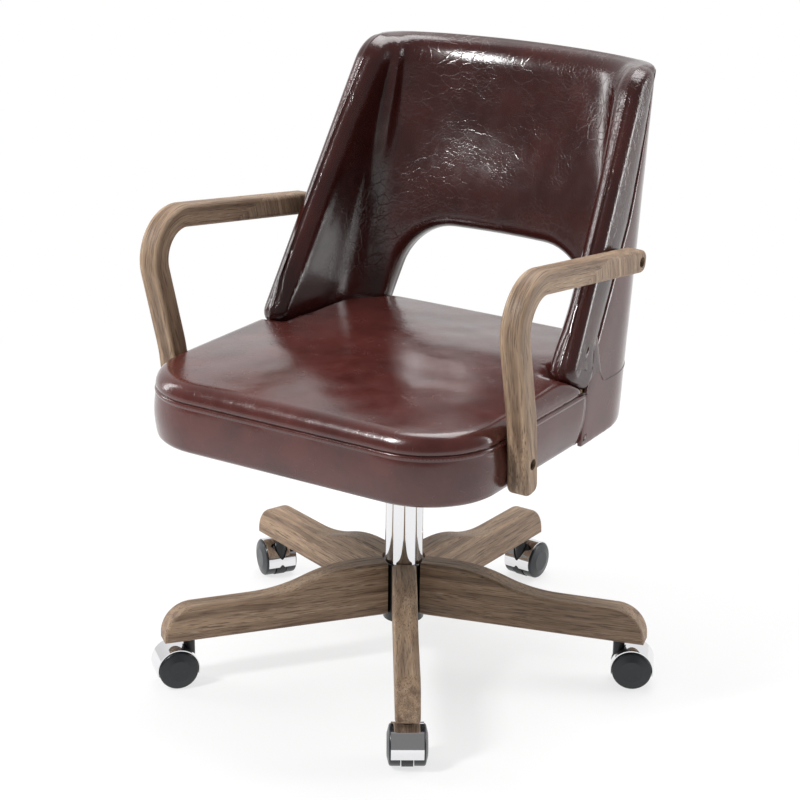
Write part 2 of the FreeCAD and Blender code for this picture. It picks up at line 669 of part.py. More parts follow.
def make_caster(number):
    label = "caster_%d_" % number
    place = caster_place(number)
    for name, side in (("wheel_left", 1), ("wheel_right", -1)):
        wheel, on_axle = make_wheel(label + name, side)
        wheel.Placement = place * on_axle
        keep(wheel)
    for node in (make_housing(label + "housing"), make_hood(label + "hood")):
        node.Placement = place
        keep(node)
    stem = turned(label + "stem_pattern", [
        ("0", "stem_seat"), ("stem_radius", "stem_seat"),
        ("stem_radius", "base_underside + stem_height"),
        ("0", "base_underside + stem_height")])
    axle = new_body(label + "axle_pattern")
    section = new_sketch(axle, "XZ_Plane", label + "axle_section")
    circle_at(section, "axle_trail", "wheel_radius", "axle_radius")
    pad(axle, section, label + "axle_rod", "2 * (wheel_face - axle_cover - part_gap)",
        both_ways=True)
    doc.recompute()
    pair = shape_node(label + "stem_and_axle", Part.makeCompound([stem.Shape, axle.Shape]))
    pair.Placement = place
    keep(pair)


def make_caster_sleeves():
    sleeve = turned("sleeve_pattern", [
        ("stem_radius + running_gap", "base_underside - sleeve_flange_thick"),
        ("sleeve_flange", "base_underside - sleeve_flange_thick"),
        ("sleeve_flange", "base_underside"),
        ("stem_radius + running_gap + sleeve_wall", "base_underside"),
        ("stem_radius + running_gap + sleeve_wall", "base_underside + stem_height + 2 * sleeve_wall"),
        ("0", "base_underside + stem_height + 2 * sleeve_wall"),
        ("0", "base_underside + stem_height + part_gap"),
        ("stem_radius + running_gap", "base_underside + stem_height + part_gap")])
    numbers = range(1, int(size("arm_count")) + 1)
    return many("caster_sleeves", sleeve, [caster_place(number) for number in numbers])


# Seat plate and lever. The lever is on the sitter's right, which is -X.

def board_bottom():
    return "seat_bottom + hem_thick"


def plate_top():
    return board_bottom() + " - dust_thick"


def lever_height():
    return cylinder_top() + " + button_rise + part_gap + lever_radius"


def box_outline(sketch, left, right, low, high, radius=None):
    corners = [(left, low), (right, low), (right, high), (left, high)]
    outline(sketch, [corner + (radius,) if radius else corner for corner in corners])


def make_seat_plate():
    plate = new_body("seat_plate")
    under = plate_under()
    flat = new_sketch(plate, "XY_Plane", "plate_outline", under)
    box_outline(flat, "0 - plate_width / 2", "plate_width / 2",
                "0 - plate_depth / 2", "plate_depth / 2", "plate_corner")
    pad(plate, flat, "plate_flat", "plate_thick")
    sides = new_sketch(plate, "XY_Plane", "plate_sides", under + " - rib_height")
    run = "plate_depth / 2 - plate_corner"
    box_outline(sides, "0 - plate_width / 2", "plate_thick - plate_width / 2",
                "0 - (%s)" % run, run)
    box_outline(sides, "plate_width / 2 - plate_thick", "plate_width / 2",
                "0 - (%s)" % run, run)
    pad(plate, sides, "plate_ribs", "rib_height")
    boss_low = socket_bottom()
    top = cylinder_top()
    boss = new_sketch(plate, "XY_Plane", "plate_boss_outline", boss_low)
    circle_at(boss, "0", "0", "boss_radius")
    pad(plate, boss, "plate_boss", under + " - (%s)" % boss_low)
    lug_low = lever_height() + " - lug_below"
    lugs = new_sketch(plate, "XY_Plane", "plate_lugs_outline", lug_low)
    for inner, outer in (("lever_radius + part_gap", "lever_radius + part_gap + lug_thick"),
                         ("0 - lever_radius - part_gap - lug_thick",
                          "0 - lever_radius - part_gap")):
        box_outline(lugs, "0 - lever_pivot - lug_half", "lug_half - lever_pivot", inner, outer)
    pad(plate, lugs, "plate_lugs", under + " - (%s)" % lug_low)
    bore = new_sketch(plate, "XZ_Plane", "plate_bore_section")
    outline(bore, [
        ("0", boss_low), ("cylinder_radius", boss_low), ("cylinder_taper_top", top),
        ("boss_chamber", top), ("boss_chamber", under), ("0", under)])
    groove = plate.newObject("PartDesign::Groove", "plate_bore")
    groove.Profile = bore
    groove.ReferenceAxis = (bore, ["V_Axis"])
    groove.Angle = 360
    window = new_sketch(plate, "YZ_Plane", "plate_window_outline")
    box_outline(window, "0 - window_half", "window_half",
                lever_height() + " - 2 * window_half", lever_height() + " + window_half")
    pocket(plate, window, "plate_window", "boss_radius + part_gap")
    pin = new_sketch(plate, "XZ_Plane", "plate_pin_outline")
    circle_at(pin, "0 - lever_pivot", lever_height(), "lever_pin_radius")
    pocket(plate, pin, "plate_pin_hole", "boss_radius * 2", both_ways=True)
    bolts = new_sketch(plate, "XY_Plane", "plate_bolt_outline", plate_top())
    for across, along in bolt_corners():
        circle_at(bolts, across, along, "bolt_radius")
    pocket(plate, bolts, "plate_bolt_holes", "plate_thick * 2")
    return keep(plate)


def bolt_corners():
    return [(across, along) for across in ("bolt_across", "0 - bolt_across")
            for along in ("bolt_along", "0 - bolt_along")]


def make_plate_bolts():
    bolt = headed_bolt("plate_bolt_pattern", "bolt_radius", "bolt_length", "bolt_head",
                       "bolt_head_thick")
    under = size(plate_under())
    places = [FreeCAD.Placement(vec(size(across), size(along), under), FreeCAD.Rotation())
              for across, along in bolt_corners()]
    return many("seat_plate_bolts", bolt, places)


def make_lever():
    lever = new_body("height_lever")
    line = new_sketch(lever, "XZ_Plane", "lever_line")
    handle = lever_height() + " - lever_drop"
    slope_end = "0 - lever_bend - lever_slope"
    outline(line, [
        ("lever_tip", lever_height()), ("0 - lever_bend", lever_height(), "lever_round"),
        (slope_end, handle, "lever_round"), (slope_end + " - lever_reach", handle)], closed=False)
    section = new_sketch(lever, "YZ_Plane", "lever_section", "lever_tip")
    circle_at(section, "0", lever_height(), "lever_radius")
    pipe = lever.newObject("PartDesign::AdditivePipe", "lever_rod")
    pipe.Profile = section
    pipe.Spine = (line, ["Edge%d" % number for number in range(1, 6)])
    pin = new_sketch(lever, "XZ_Plane", "lever_pin_outline")
    circle_at(pin, "0 - lever_pivot", lever_height(), "lever_pin_radius + running_gap")
    pocket(lever, pin, "lever_pin_hole", "lever_radius * 4", both_ways=True)
    keep(lever)
    grip = new_body("lever_grip")
    end = slope_end + " - lever_reach"
    section = new_sketch(grip, "YZ_Plane", "grip_section", end)
    circle_at(section, "0", handle, "grip_radius")
    circle_at(section, "0", handle, "lever_radius")
    pad(grip, section, "grip_sleeve", "grip_length")
    keep(grip)
    pin_body = new_body("lever_pin")
    section = new_sketch(pin_body, "XZ_Plane", "lever_pin_section")
    circle_at(section, "0 - lever_pivot", lever_height(), "lever_pin_radius")
    pad(pin_body, section, "lever_pin_rod", "2 * (lever_radius + part_gap + lug_thick)",
        both_ways=True)
    keep(pin_body)


# Plan and side shapes of the seat and the back

def rounded_face(corners, to_space):
    """Face through corners (across, up, radius), laid in space by to_space(across, up)."""
    flat = [vec(corner[0], corner[1], 0) for corner in corners]
    edges = []
    joints = []
    for index, place in enumerate(flat):
        radius = corners[index][2] if len(corners[index]) > 2 else 0
        if not radius:
            joints.append((place, None, place))
            continue
        before = (flat[index - 1] - place).normalize()
        after = (flat[(index + 1) % len(flat)] - place).normalize()
        half_angle = before.getAngle(after) / 2
        setback = radius / math.tan(half_angle)
        bisector = (before + after).normalize()
        middle = place + bisector * (radius / math.sin(half_angle) - radius)
        joints.append((place + before * setback, middle, place + after * setback))
    for index, (start, middle, end) in enumerate(joints):
        if middle:
            edges.append(Part.Arc(*[to_space(p.x, p.y) for p in (start, middle, end)]).toShape())
        following = joints[(index + 1) % len(joints)][0]
        if (following - end).Length > CLOSE:
            edges.append(Part.LineSegment(to_space(end.x, end.y),
                                          to_space(following.x, following.y)).toShape())
    return Part.Face(Part.Wire(edges))


def level(height):
    return lambda across, along: vec(across, along, height)


def upright(x):
    return lambda along, up: vec(x, along, up)


def facing(y):
    return lambda across, up: vec(across, y, up)


def seat_plan(inset, height):
    """Seat outline drawn in by the inset, run on to the rear, where the back cuts it."""
    half = size("seat_half_width") - inset
    front = inset - size("seat_front")
    corner = size("seat_corner") - inset
    return rounded_face([(-half, front, corner), (half, front, corner),
                         (half, behind()), (-half, behind())], level(height))


def cushion_plan(height):
    """Outline of the cushion's top, which steps in between the padded sides of the back."""
    half = size("seat_half_width")
    neck = size("seat_neck_half")
    rear = size("seat_rear_half")
    front = [(-half, -size("seat_front"), size("seat_corner")),
             (half, -size("seat_front"), size("seat_corner"))]
    side = [(half, size("seat_step"), size("seat_step_round")),
            (neck, size("seat_step"), size("seat_neck_round")),
            (rear, size("seat_rear"), size("seat_rear_corner"))]
    other_side = [(-corner[0],) + corner[1:] for corner in reversed(side)]
    return rounded_face(front + side + other_side, level(height))


def back_line(height, inset):
    """Plan outline of the back at a height: straight sides, corner arcs and a shallow rear arc."""
    share = (height - size("back_bottom")) / size("back_top - back_bottom")

    def between(low, high):
        return size(low) + share * size("%s - %s" % (high, low))

    half = between("back_low_half", "back_high_half")
    turn = between("back_low_turn", "back_high_turn")
    corner = between("back_low_corner", "back_high_corner")
    end = math.radians(size("back_corner_end"))
    centre_x = half - corner
    rear_radius = (centre_x + corner * math.sin(end)) / math.sin(end)
    rear_centre = turn + corner * math.cos(end) - rear_radius * math.cos(end)
    near = -size("seat_front") - inset

    def on_corner(angle, side):
        reach = corner - inset
        return vec(side * (centre_x + reach * math.sin(angle)),
                   turn + reach * math.cos(angle), height)

    def on_rear(angle):
        reach = rear_radius - inset
        return vec(reach * math.sin(angle), rear_centre + reach * math.cos(angle), height)

    middle = (end + math.pi / 2) / 2
    quarter = math.pi / 2
    front_right = vec(half - inset, near, height)
    front_left = vec(inset - half, near, height)
    return Part.Wire([
        Part.LineSegment(front_right, on_corner(quarter, 1)).toShape(),
        Part.Arc(on_corner(quarter, 1), on_corner(middle, 1), on_corner(end, 1)).toShape(),
        Part.Arc(on_corner(end, 1), on_rear(0), on_corner(end, -1)).toShape(),
        Part.Arc(on_corner(end, -1), on_corner(middle, -1), on_corner(quarter, -1)).toShape(),
        Part.LineSegment(on_corner(quarter, -1), front_left).toShape(),
        Part.LineSegment(front_left, front_right).toShape()])


def back_block(inset):
    """Everything within the back's plan outline, drawn in by the inset, from bottom to top."""
    margin = size("wing_toe_round")
    low = back_line(size("back_bottom") - margin, inset)
    high = back_line(size("back_top") + margin, inset)
    return Part.makeLoft([low, high], True, True)


def beyond():
    """A distance from the axis that is past the widest parts of the seat and back."""
    return size("back_low_half + back_low_corner")


def side_block(corners):
    """Block across the whole chair, of a side outline of (behind the axis, height, radius)."""
    reach = beyond()
    face = rounded_face(corners, upright(-reach))
    return face.extrude(vec(2 * reach, 0, 0))


def slab(low, high):
    """Level block that takes in the whole seat and back between two heights."""
    reach = beyond()
    return Part.makeBox(2 * reach, 4 * reach, high - low, vec(-reach, -2 * reach, low))


def behind():
    """A line well behind the back, where the side outlines end."""
    return size("back_high_turn + back_low_corner + back_high_half")


def pad_side(grow):
    return side_block([
        (behind(), size("pad_bottom") - grow), (size("wing_heel") - grow, size("pad_bottom") - grow),
        (size("wing_toe") - grow, size("wing_toe_height"), size("wing_toe_round")),
        (size("wing_head") - grow, size("back_top") + grow, size("wing_head_round")),
        (behind(), size("back_top") + grow)])


def seam_side(shift):
    """Region behind the side seam, moved to the rear by the shift."""
    top = size("back_top - panel_drop") - shift
    return side_block([
        (behind(), size("back_bottom")), (size("seam_foot") + shift, size("back_bottom")),
        (size("seam_step") + shift, size("pad_bottom")),
        (size("seam_hip") + shift, size("seam_hip_height"), size("seam_hip")),
        (size("seam_waist") + shift, size("seam_waist_height"), size("seam_waist")),
        (size("seam_head") + shift, top), (behind(), top)])


def shell_side(grow):
    top = size("back_top - shell_drop") + grow
    foot = size(board_bottom()) - grow
    slope = size("(wing_head - wing_toe) / (back_top - wing_toe_height)")
    rise = top - size("wing_toe_height")
    return side_block([
        (behind(), foot), (size("seam_foot + seam_slot") - grow, foot),
        (size("seam_step + seam_slot") - grow, size("pad_bottom")),
        (size("wing_toe + shell_setback") - grow, size("wing_toe_height")),
        (size("wing_toe + shell_setback") + rise * slope - grow, top), (behind(), top)])


def opening_block(grow, deepen):
    """Arch through the rear of the back, made larger all round by grow, and deepened below."""
    half = size("hole_half") + grow
    lean = size("hole_lean")
    low = size("hole_bottom") - grow - deepen
    high = size("hole_top") + grow
    radius = size("hole_corner") + grow
    sections = []
    for along in (size("back_low_turn"), behind()):
        spread = half + (along - size("hole_depth")) * math.tan(math.radians(size("hole_flare")))
        face = rounded_face([(-spread, low), (spread, low), (spread - lean, high, radius),
                             (lean - spread, high, radius)], facing(along))
        sections.append(face.OuterWire)
    return Part.makeLoft(sections, True, True)


# Seat: a plywood board with a rail frame on it, wrapped by the cushion, and closed below

def back_envelope(seam_shift, inset):
    """What the lower back takes from the seat: all behind the side seam and outside the inset."""
    return seam_side(seam_shift).cut(back_block(inset))


def seat_blank(inset, low, high):
    """Seat plan drawn in by the inset, between two heights, clear of the lower back."""
    block = seat_plan(inset, low).extrude(vec(0, 0, high - low))
    shell_inner = size("panel_thick + shell_thick + part_gap")
    return block.cut(back_envelope(-size("part_gap") - inset, shell_inner + inset))


def arc_block(low, start, middle, end, across):
    """Block under an arc through three (along, up) points, wide enough for the whole seat."""
    reach = beyond()

    def place(point, up=None):
        height = point[1] if up is None else up
        return vec(-reach, point[0], height) if across else vec(point[0], -reach, height)

    arc = Part.Arc(place(start), place(middle), place(end)).toShape()
    sides = Part.makePolygon([place(end), place(end, low), place(start, low), place(start)])
    face = Part.Face(Part.Wire([arc] + sides.Edges))
    direction = vec(2 * reach, 0, 0) if across else vec(0, 2 * reach, 0)
    return face.extrude(direction)


def crowned(block):
    """The block cut to the shallow crown of the cushion, side to side and front to back."""
    low = size("seat_bottom - hem_thick")
    half = size("seat_half_width")
    edge = size("seat_shoulder")
    top = size("seat_crown")
    front = -size("seat_front")
    over_width = arc_block(low, (-half, edge), (0, top), (half, edge), False)
    over_depth = arc_block(low, (front, edge), (-size("seat_crown_along"), top),
                           (size("seat_rear"), size("seat_rear_top")), True)
    return block.common(over_width).common(over_depth)


def rim(shape, height):
    return [edge for edge in shape.Edges
            if max(abs(edge.BoundBox.ZMin - height), abs(edge.BoundBox.ZMax - height)) < CLOSE]


def make_seat_board():
    low = size(board_bottom())
    return seat_blank(size("frame_inset"), low, low + size("board_thick"))


def make_seat_frame():
    low = size(board_bottom() + " + board_thick")
    high = low + size("frame_height")
    inset = size("frame_inset")
    outer = seat_blank(inset, low, high)
    return outer.cut(seat_blank(inset + size("frame_rail"), low - 1, high + 1))


def make_dust_cover():
    high = size(board_bottom())
    inset = size("hem_width + part_gap")
    return seat_blank(inset, high - size("dust_thick"), high)


def shell_space():
    """Room for the plywood shell of the back, with the gap round it."""
    gap = size("part_gap")
    room = back_block(size("panel_thick")).cut(back_block(size("panel_thick + shell_thick") + gap))
    return room.common(shell_side(gap)).cut(opening_block(size("hole_edge") - gap, 0))


def make_seat_cushion():
    low = size("seat_bottom")
    top = size("seat_crown")
    board = size(board_bottom())
    frame = board + size("board_thick")
    inset = size("frame_inset")
    gap = size("part_gap")
    boxing = seat_plan(0, low).extrude(vec(0, 0, size("seat_seam") - low))
    boxing = boxing.makeFillet(size("seat_hem_round"), rim(boxing, low))
    boxing = boxing.cut(back_envelope(-gap, size("panel_thick + shell_thick") + gap))
    pillow = cushion_plan(size("pad_bottom")).extrude(vec(0, 0, top - size("pad_bottom")))
    pillow = crowned(pillow.makeFillet(size("seat_top_round"), rim(pillow, top)))
    padded_back = pad_side(gap).cut(back_block(size("back_thick") + gap))
    cushion = boxing.cut(padded_back).fuse(pillow.cut(padded_back)).removeSplitter()
    cushion = cushion.cut(shell_space())
    cushion = cushion.cut(seat_blank(size("hem_width"), low - 1, board))
    cushion = cushion.cut(seat_blank(inset, board, frame))
    rail = seat_blank(inset, frame, frame + size("frame_height"))
    inner = seat_blank(inset + size("frame_rail"), frame - 1, frame + size("frame_height") + 1)
    return cushion.cut(rail.cut(inner))


# Back: a bent plywood shell with padding round its front and sides and a leather panel behind

def layer(outer, inner):
    return back_block(outer).cut(back_block(inner))


def make_back_shell():
    gap = size("part_gap")
    wall = layer(size("panel_thick") + gap, size("panel_thick + shell_thick"))
    return wall.common(shell_side(0)).cut(opening_block(size("hole_edge"), 0))


def make_back_panel():
    wall = layer(0, size("panel_thick"))
    region = seam_side(size("seam_slot")).common(slab(size("back_bottom"), size("back_top")))
    return wall.common(region).cut(opening_block(size("seam_slot"), 0))


def rolled_edges(block):
    """Edges of the padded back where its outline meets its outer and inner faces, above its
    foot. The long edges that run up the bends of the back, nearly upright, aren't among them."""
    low = size("pad_bottom + seam_slot")
    nearly_upright = 0.97
    chosen = []
    for edge in block.Edges:
        half_way = (edge.FirstParameter + edge.LastParameter) / 2
        box = edge.BoundBox
        level_run = max(box.XLength, box.YLength)
        up_a_bend = (box.ZLength > size("back_thick")
                     and abs(edge.tangentAt(half_way).z) > nearly_upright)
        if edge.valueAt(half_way).z > low and level_run > size("seam_slot") and not up_a_bend:
            chosen.append(edge)
    return chosen


def make_back_pad():
    gap = size("part_gap")
    block = layer(0, size("back_thick")).common(pad_side(0))
    block = block.makeFillet(size("edge_round"), rolled_edges(block))
    block = block.cut(opening_block(0, size("hole_bottom - pad_bottom") + 1))
    panel_space = back_block(-1).cut(back_block(size("panel_thick") + gap)).common(seam_side(0))
    return block.cut(panel_space).cut(shell_space())


# Armrests: the strip's side line is on the local YZ plane, its lower end at the local origin

def rest_heading():
    return "90 + rest_knee - rest_elbow"


def rest_corner_places():
    elbow = ("0 - rest_riser * sin(rest_knee)", "rest_post + rest_riser * cos(rest_knee)")
    end = (elbow[0] + " + rest_pad * cos(%s)" % rest_heading(),
           elbow[1] + " + rest_pad * sin(%s)" % rest_heading())
    return elbow, end


def rest_place(side):
    turn = FreeCAD.Rotation(vec(0, 0, 1), side * size("rest_toe"))
    lean = FreeCAD.Rotation(vec(0, 1, 0), side * size("rest_lean"))
    rake = FreeCAD.Rotation(vec(1, 0, 0), size("rest_rake"))
    foot = vec(side * size("rest_spread"), size("rest_foot_back"), size("rest_foot_height"))
    return FreeCAD.Placement(foot, turn * lean * rake)


def rest_bolt_places():
    """Where the two bolts cross the strip's side line, as (along, up) formulas."""
    elbow, end = rest_corner_places()
    rail_middle = board_bottom() + " + board_thick + frame_height / 2"
    low = "(%s + rest_bolt_rise - rest_foot_height) / cos(rest_rake)" % rail_middle
    return [("0", low),
            (end[0] + " - rest_bolt_high * cos(%s)" % rest_heading(),
             end[1] + " - rest_bolt_high * sin(%s)" % rest_heading())]


def make_armrest(label, side):
    rest = new_body(label)
    line = new_sketch(rest, "YZ_Plane", label + "_line")
    elbow, end = rest_corner_places()
    outline(line, [("0", "0"), ("0", "rest_post", "rest_knee_round"),
                   elbow + ("rest_elbow_round",), end], closed=False)
    section = new_sketch(rest, "XY_Plane", label + "_section")
    box_outline(section, "0 - rest_width / 2", "rest_width / 2",
                "0 - rest_thick / 2", "rest_thick / 2")
    strip = rest.newObject("PartDesign::AdditivePipe", label + "_strip")
    strip.Profile = section
    strip.Spine = (line, ["Edge%d" % number for number in range(1, 6)])
    doc.recompute()
    shape = rest.Tip.Shape
    end_faces = [face for face in shape.Faces
                 if abs(face.Area - size("rest_width * rest_thick")) < 1]
    across = []
    for index, edge in enumerate(shape.Edges, start=1):
        crosswise = abs(edge.tangentAt(edge.FirstParameter).x) > 0.99
        at_end = any(edge.isSame(other) for face in end_faces for other in face.Edges)
        if crosswise and at_end:
            across.append("Edge%d" % index)
    fillet(rest, label + "_ends", across, "rest_end_round")
    doc.recompute()
    half = size("rest_width") / 2

    def side_face(face):
        return abs(abs(face.CenterOfMass.x) - half) < CLOSE

    fillet(rest, label + "_eased", edges_of_faces(rest.Tip.Shape, side_face), "rest_ease")
    holes = new_sketch(rest, "YZ_Plane", label + "_bolt_outline")
    sinks = new_sketch(rest, "YZ_Plane", label + "_sink_outline",
                       ("" if side > 0 else "0 - ") + "(rest_width / 2 - rest_bolt_sink)")
    for along, up in rest_bolt_places():
        circle_at(holes, along, up, "rest_bolt_radius")
        circle_at(sinks, along, up, "rest_bolt_head + part_gap")
    pocket(rest, holes, label + "_bolt_holes", "rest_width * 2", both_ways=True)
    pocket(rest, sinks, label + "_bolt_sinks", "rest_width", reverse=side > 0)
    rest.Placement = rest_place(side)
    return keep(rest)


def rest_bolt_axes():
    """Placement of every armrest bolt: under its head, with +Z along the shank."""
    places = []
    for side in (1, -1):
        for along, up in rest_bolt_places():
            out = side * (size("rest_width / 2 - rest_bolt_sink"))
            seat = vec(out, size(along), size(up))
            inward = FreeCAD.Rotation(vec(0, 0, 1), vec(-side, 0, 0))
            places.append(rest_place(side) * FreeCAD.Placement(seat, inward))
    return places


def make_rest_bolts():
    bolt = headed_bolt("rest_bolt_pattern", "rest_bolt_radius", "rest_bolt_length",
                       "rest_bolt_head", "bolt_head_thick")
    return many("armrest_bolts", bolt, rest_bolt_axes())


def make_rest_spacers():
    """Round spacers from the rear bolts' armrests in to the side of the back."""
    gap_start = size("rest_width - rest_bolt_sink")
    spacers = []
    outside = back_block(0)
    for place in rest_bolt_axes()[1::2]:
        ring = Part.makeCylinder(size("spacer_radius"), gap_start, vec(0, 0, gap_start))
        ring = ring.cut(Part.makeCylinder(size("rest_bolt_radius"), 3 * gap_start))
        ring.Placement = place
        spacers.append(ring.cut(outside))
    return keep(shape_node("armrest_spacers", Part.makeCompound(spacers)))


# Screws that hold the back's shell to the seat frame

def back_screw_places():
    places = []
    height = size(board_bottom() + " + board_thick + frame_height / 2")
    line = back_line(height, size("panel_thick") + size("part_gap"))
    for along in ("screw_near", "screw_far"):
        for side in (1, -1):
            ray = Part.makeLine(vec(0, size(along), height),
                                vec(side * size("back_low_half") * 2, size(along), height))
            hit = line.distToShape(ray)[1][0][0]
            inward = FreeCAD.Rotation(vec(0, 0, 1), vec(-side, 0, 0))
            seat = vec(hit.x - side * size("screw_sink"), hit.y, hit.z)
            places.append(FreeCAD.Placement(seat, inward))
    for across in (-size("screw_rear"), 0, size("screw_rear")):
        ray = Part.makeLine(vec(across, 0, height), vec(across, behind(), height))
        hit = line.distToShape(ray)[1][0][0]
        inward = FreeCAD.Rotation(vec(0, 0, 1), vec(0, -1, 0))
        seat = vec(hit.x, hit.y - size("screw_sink"), hit.z)
        places.append(FreeCAD.Placement(seat, inward))
    return places


def make_back_screws():
    screw = headed_bolt("back_screw_pattern", "screw_radius", "screw_length",
                        "screw_head", "screw_head_thick")
    return many("back_screws", screw, back_screw_places())


def drilled(shape, places, radius, head_radius=0.0):
    """The shape with a hole for each fastener and a seat for each head."""
    reach = size("rest_bolt_length")
    for place in places:
        hole = Part.makeCylinder(radius, reach, vec(0, 0, 0))
        if head_radius:
            hole = hole.fuse(Part.makeCylinder(head_radius, reach / 2, vec(0, 0, -reach / 2)))
        hole.Placement = place
        shape = shape.cut(hole)
    return shape


def make_upholstery():
    """Seat and back pieces, drilled for the fasteners that join them."""
    rest_axes = rest_bolt_axes()
    screw_axes = back_screw_places()
    rest_radius = size("rest_bolt_radius")
    screw_radius = size("screw_radius")
    bolt_axes = [FreeCAD.Placement(vec(size(across), size(along), size(plate_top())),
                                   FreeCAD.Rotation()) for across, along in bolt_corners()]
    deep = size("bolt_length")

    def bolt_holes(shape):
        for place in bolt_axes:
            hole = Part.makeCylinder(size("bolt_radius"), deep, vec(0, 0, -size("plate_thick")))
            hole.Placement = place
            shape = shape.cut(hole)
        return shape

    keep(shape_node("dust_cover", bolt_holes(make_dust_cover())))
    keep(shape_node("seat_board", bolt_holes(make_seat_board())))
    frame = drilled(make_seat_frame(), rest_axes[0::2], rest_radius)
    keep(shape_node("seat_frame", drilled(frame, screw_axes, screw_radius)))
    cushion = drilled(make_seat_cushion(), rest_axes[0::2], rest_radius)
    keep(shape_node("seat_cushion", drilled(cushion, screw_axes, screw_radius)))
    shell = drilled(make_back_shell(), rest_axes[1::2], rest_radius)
    head = size("screw_head + part_gap")
    keep(shape_node("back_shell", drilled(shell, screw_axes, screw_radius, head)))
    keep(shape_node("back_pad", drilled(make_back_pad(), rest_axes[1::2], rest_radius)))
    keep(shape_node("back_panel", drilled(make_back_panel(), rest_axes[1::2], rest_radius)))


def write_parts():
    doc.recompute()
    for item in doc.Objects:
        if "Invalid" in item.State or "Error" in item.State:
            raise RuntimeError("%s did not build: %s" % (item.Label, item.State))
    for node in NODES:
        if node.Shape.isNull() or not node.Shape.isValid():
            raise RuntimeError("%s has no valid shape" % node.Label)
    os.makedirs("parts", exist_ok=True)
    for node in NODES:
        node.Shape.exportStep(os.path.join("parts", node.Label + ".step"))
        print(node.Label, len(node.Shape.Solids), round(node.Shape.Volume))


make_hub()
for arm_number in range(1, int(size("arm_count")) + 1):
    make_base_arm(arm_number)
make_hub_screws()
make_column()
for caster_number in range(1, int(size("arm_count")) + 1):
    make_caster(caster_number)
make_caster_sleeves()
make_seat_plate()
make_plate_bolts()
make_lever()
make_upholstery()
make_armrest("armrest_left", 1)
make_armrest("armrest_right", -1)
make_rest_bolts()
make_rest_spacers()
make_back_screws()
write_parts()
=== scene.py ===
import json
import math
import bmesh
import bpy
import numpy as np
from mathutils import Matrix, Vector, noise
from mathutils.geometry import delaunay_2d_cdt


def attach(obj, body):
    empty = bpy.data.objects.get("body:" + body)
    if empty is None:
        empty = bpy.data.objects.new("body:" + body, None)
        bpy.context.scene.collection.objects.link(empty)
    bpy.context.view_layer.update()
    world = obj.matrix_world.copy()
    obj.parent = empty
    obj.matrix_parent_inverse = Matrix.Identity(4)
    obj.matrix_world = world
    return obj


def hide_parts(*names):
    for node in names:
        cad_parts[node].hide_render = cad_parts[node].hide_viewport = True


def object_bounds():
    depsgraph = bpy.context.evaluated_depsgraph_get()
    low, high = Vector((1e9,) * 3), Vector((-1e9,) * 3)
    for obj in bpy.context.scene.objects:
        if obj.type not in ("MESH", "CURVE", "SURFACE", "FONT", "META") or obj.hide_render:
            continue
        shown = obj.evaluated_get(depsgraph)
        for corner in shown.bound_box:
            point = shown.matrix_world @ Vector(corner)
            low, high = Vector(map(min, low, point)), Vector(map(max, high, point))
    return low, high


# Bankers swivel chair: leather over foam, limed oak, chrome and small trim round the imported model.
# The upholstery is worked out in millimetres and turned to metres where its mesh is made.

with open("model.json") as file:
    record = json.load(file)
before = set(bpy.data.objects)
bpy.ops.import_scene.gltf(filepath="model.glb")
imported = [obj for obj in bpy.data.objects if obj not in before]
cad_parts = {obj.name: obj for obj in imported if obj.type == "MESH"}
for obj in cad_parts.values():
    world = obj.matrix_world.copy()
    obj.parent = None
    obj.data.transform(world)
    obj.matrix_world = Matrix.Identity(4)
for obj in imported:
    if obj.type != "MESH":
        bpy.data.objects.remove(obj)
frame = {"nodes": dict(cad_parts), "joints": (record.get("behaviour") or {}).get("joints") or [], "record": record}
cad_box = [list(corner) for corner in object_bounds()]
NODES = frame["nodes"]
MM = 0.001

# Sizes of the upholstery, in millimetres, as the solids have them
BACK_BOTTOM, BACK_TOP = 334.0, 770.0
BACK_HALF = (241.0, 213.0)          # half width of the back at its bottom and top
BACK_TURN = (99.0, 229.0)           # where the sides start to turn
BACK_CORNER = (120.0, 60.0)         # plan radius of the corners
CORNER_END = math.radians(17.0)     # where the corners give way to the rear
PAD_THICK = 36.0
PAD_BOTTOM = 396.0
PANEL_THICK = 5.0
SHELL_INNER = 16.6                  # inner face of the shell, with its clearance
SEAM_SLOT = 2.0
SEAT_HALF, SEAT_FRONT, SEAT_CORNER = 239.0, -274.0, 96.0
SEAT_BOTTOM, SEAT_SEAM = 336.0, 402.0
SEAT_CROWN, SEAT_CROWN_AT = 432.0, -68.5
SEAT_ROUND = 21.0
SEAT_REAR = 212.0
FRAME_TOP = 386.0


# Node trees

def feed(tree, made, inputs):
    """Links each input to the socket given for it, or sets it to the value given."""
    for key, value in inputs.items():
        if isinstance(value, bpy.types.NodeSocket):
            tree.links.new(value, made.inputs[key])
        else:
            made.inputs[key].default_value = value


def node(tree, kind, inputs=None, **settings):
    """Adds a node, sets its properties, and sets or links its inputs."""
    made = tree.nodes.new(kind)
    for name, value in settings.items():
        setattr(made, name, value)
    feed(tree, made, inputs or {})
    return made


def sums(tree, operation, first, second=0.0, third=None):
    inputs = {0: first, 1: second}
    if third is not None:
        inputs[2] = third
    return node(tree, "ShaderNodeMath", inputs, operation=operation).outputs[0]


def spread(tree, value, low, high, to_low=0.0, to_high=1.0):
    """The value's range low to high, spread over to_low to to_high and held there."""
    return node(tree, "ShaderNodeMapRange", {0: value, 1: low, 2: high, 3: to_low, 4: to_high}).outputs[0]


def mixed(tree, share, first, second):
    """Colour between the first and the second, by the second's share."""
    made = node(tree, "ShaderNodeMix", data_type="RGBA")
    feed(tree, made, {0: share, 6: first, 7: second})
    return made.outputs[2]


def colour(red, green, blue):
    """Linear colour of a colour that is written in 0 to 255."""
    return tuple((part / 255) ** 2.2 for part in (red, green, blue)) + (1.0,)


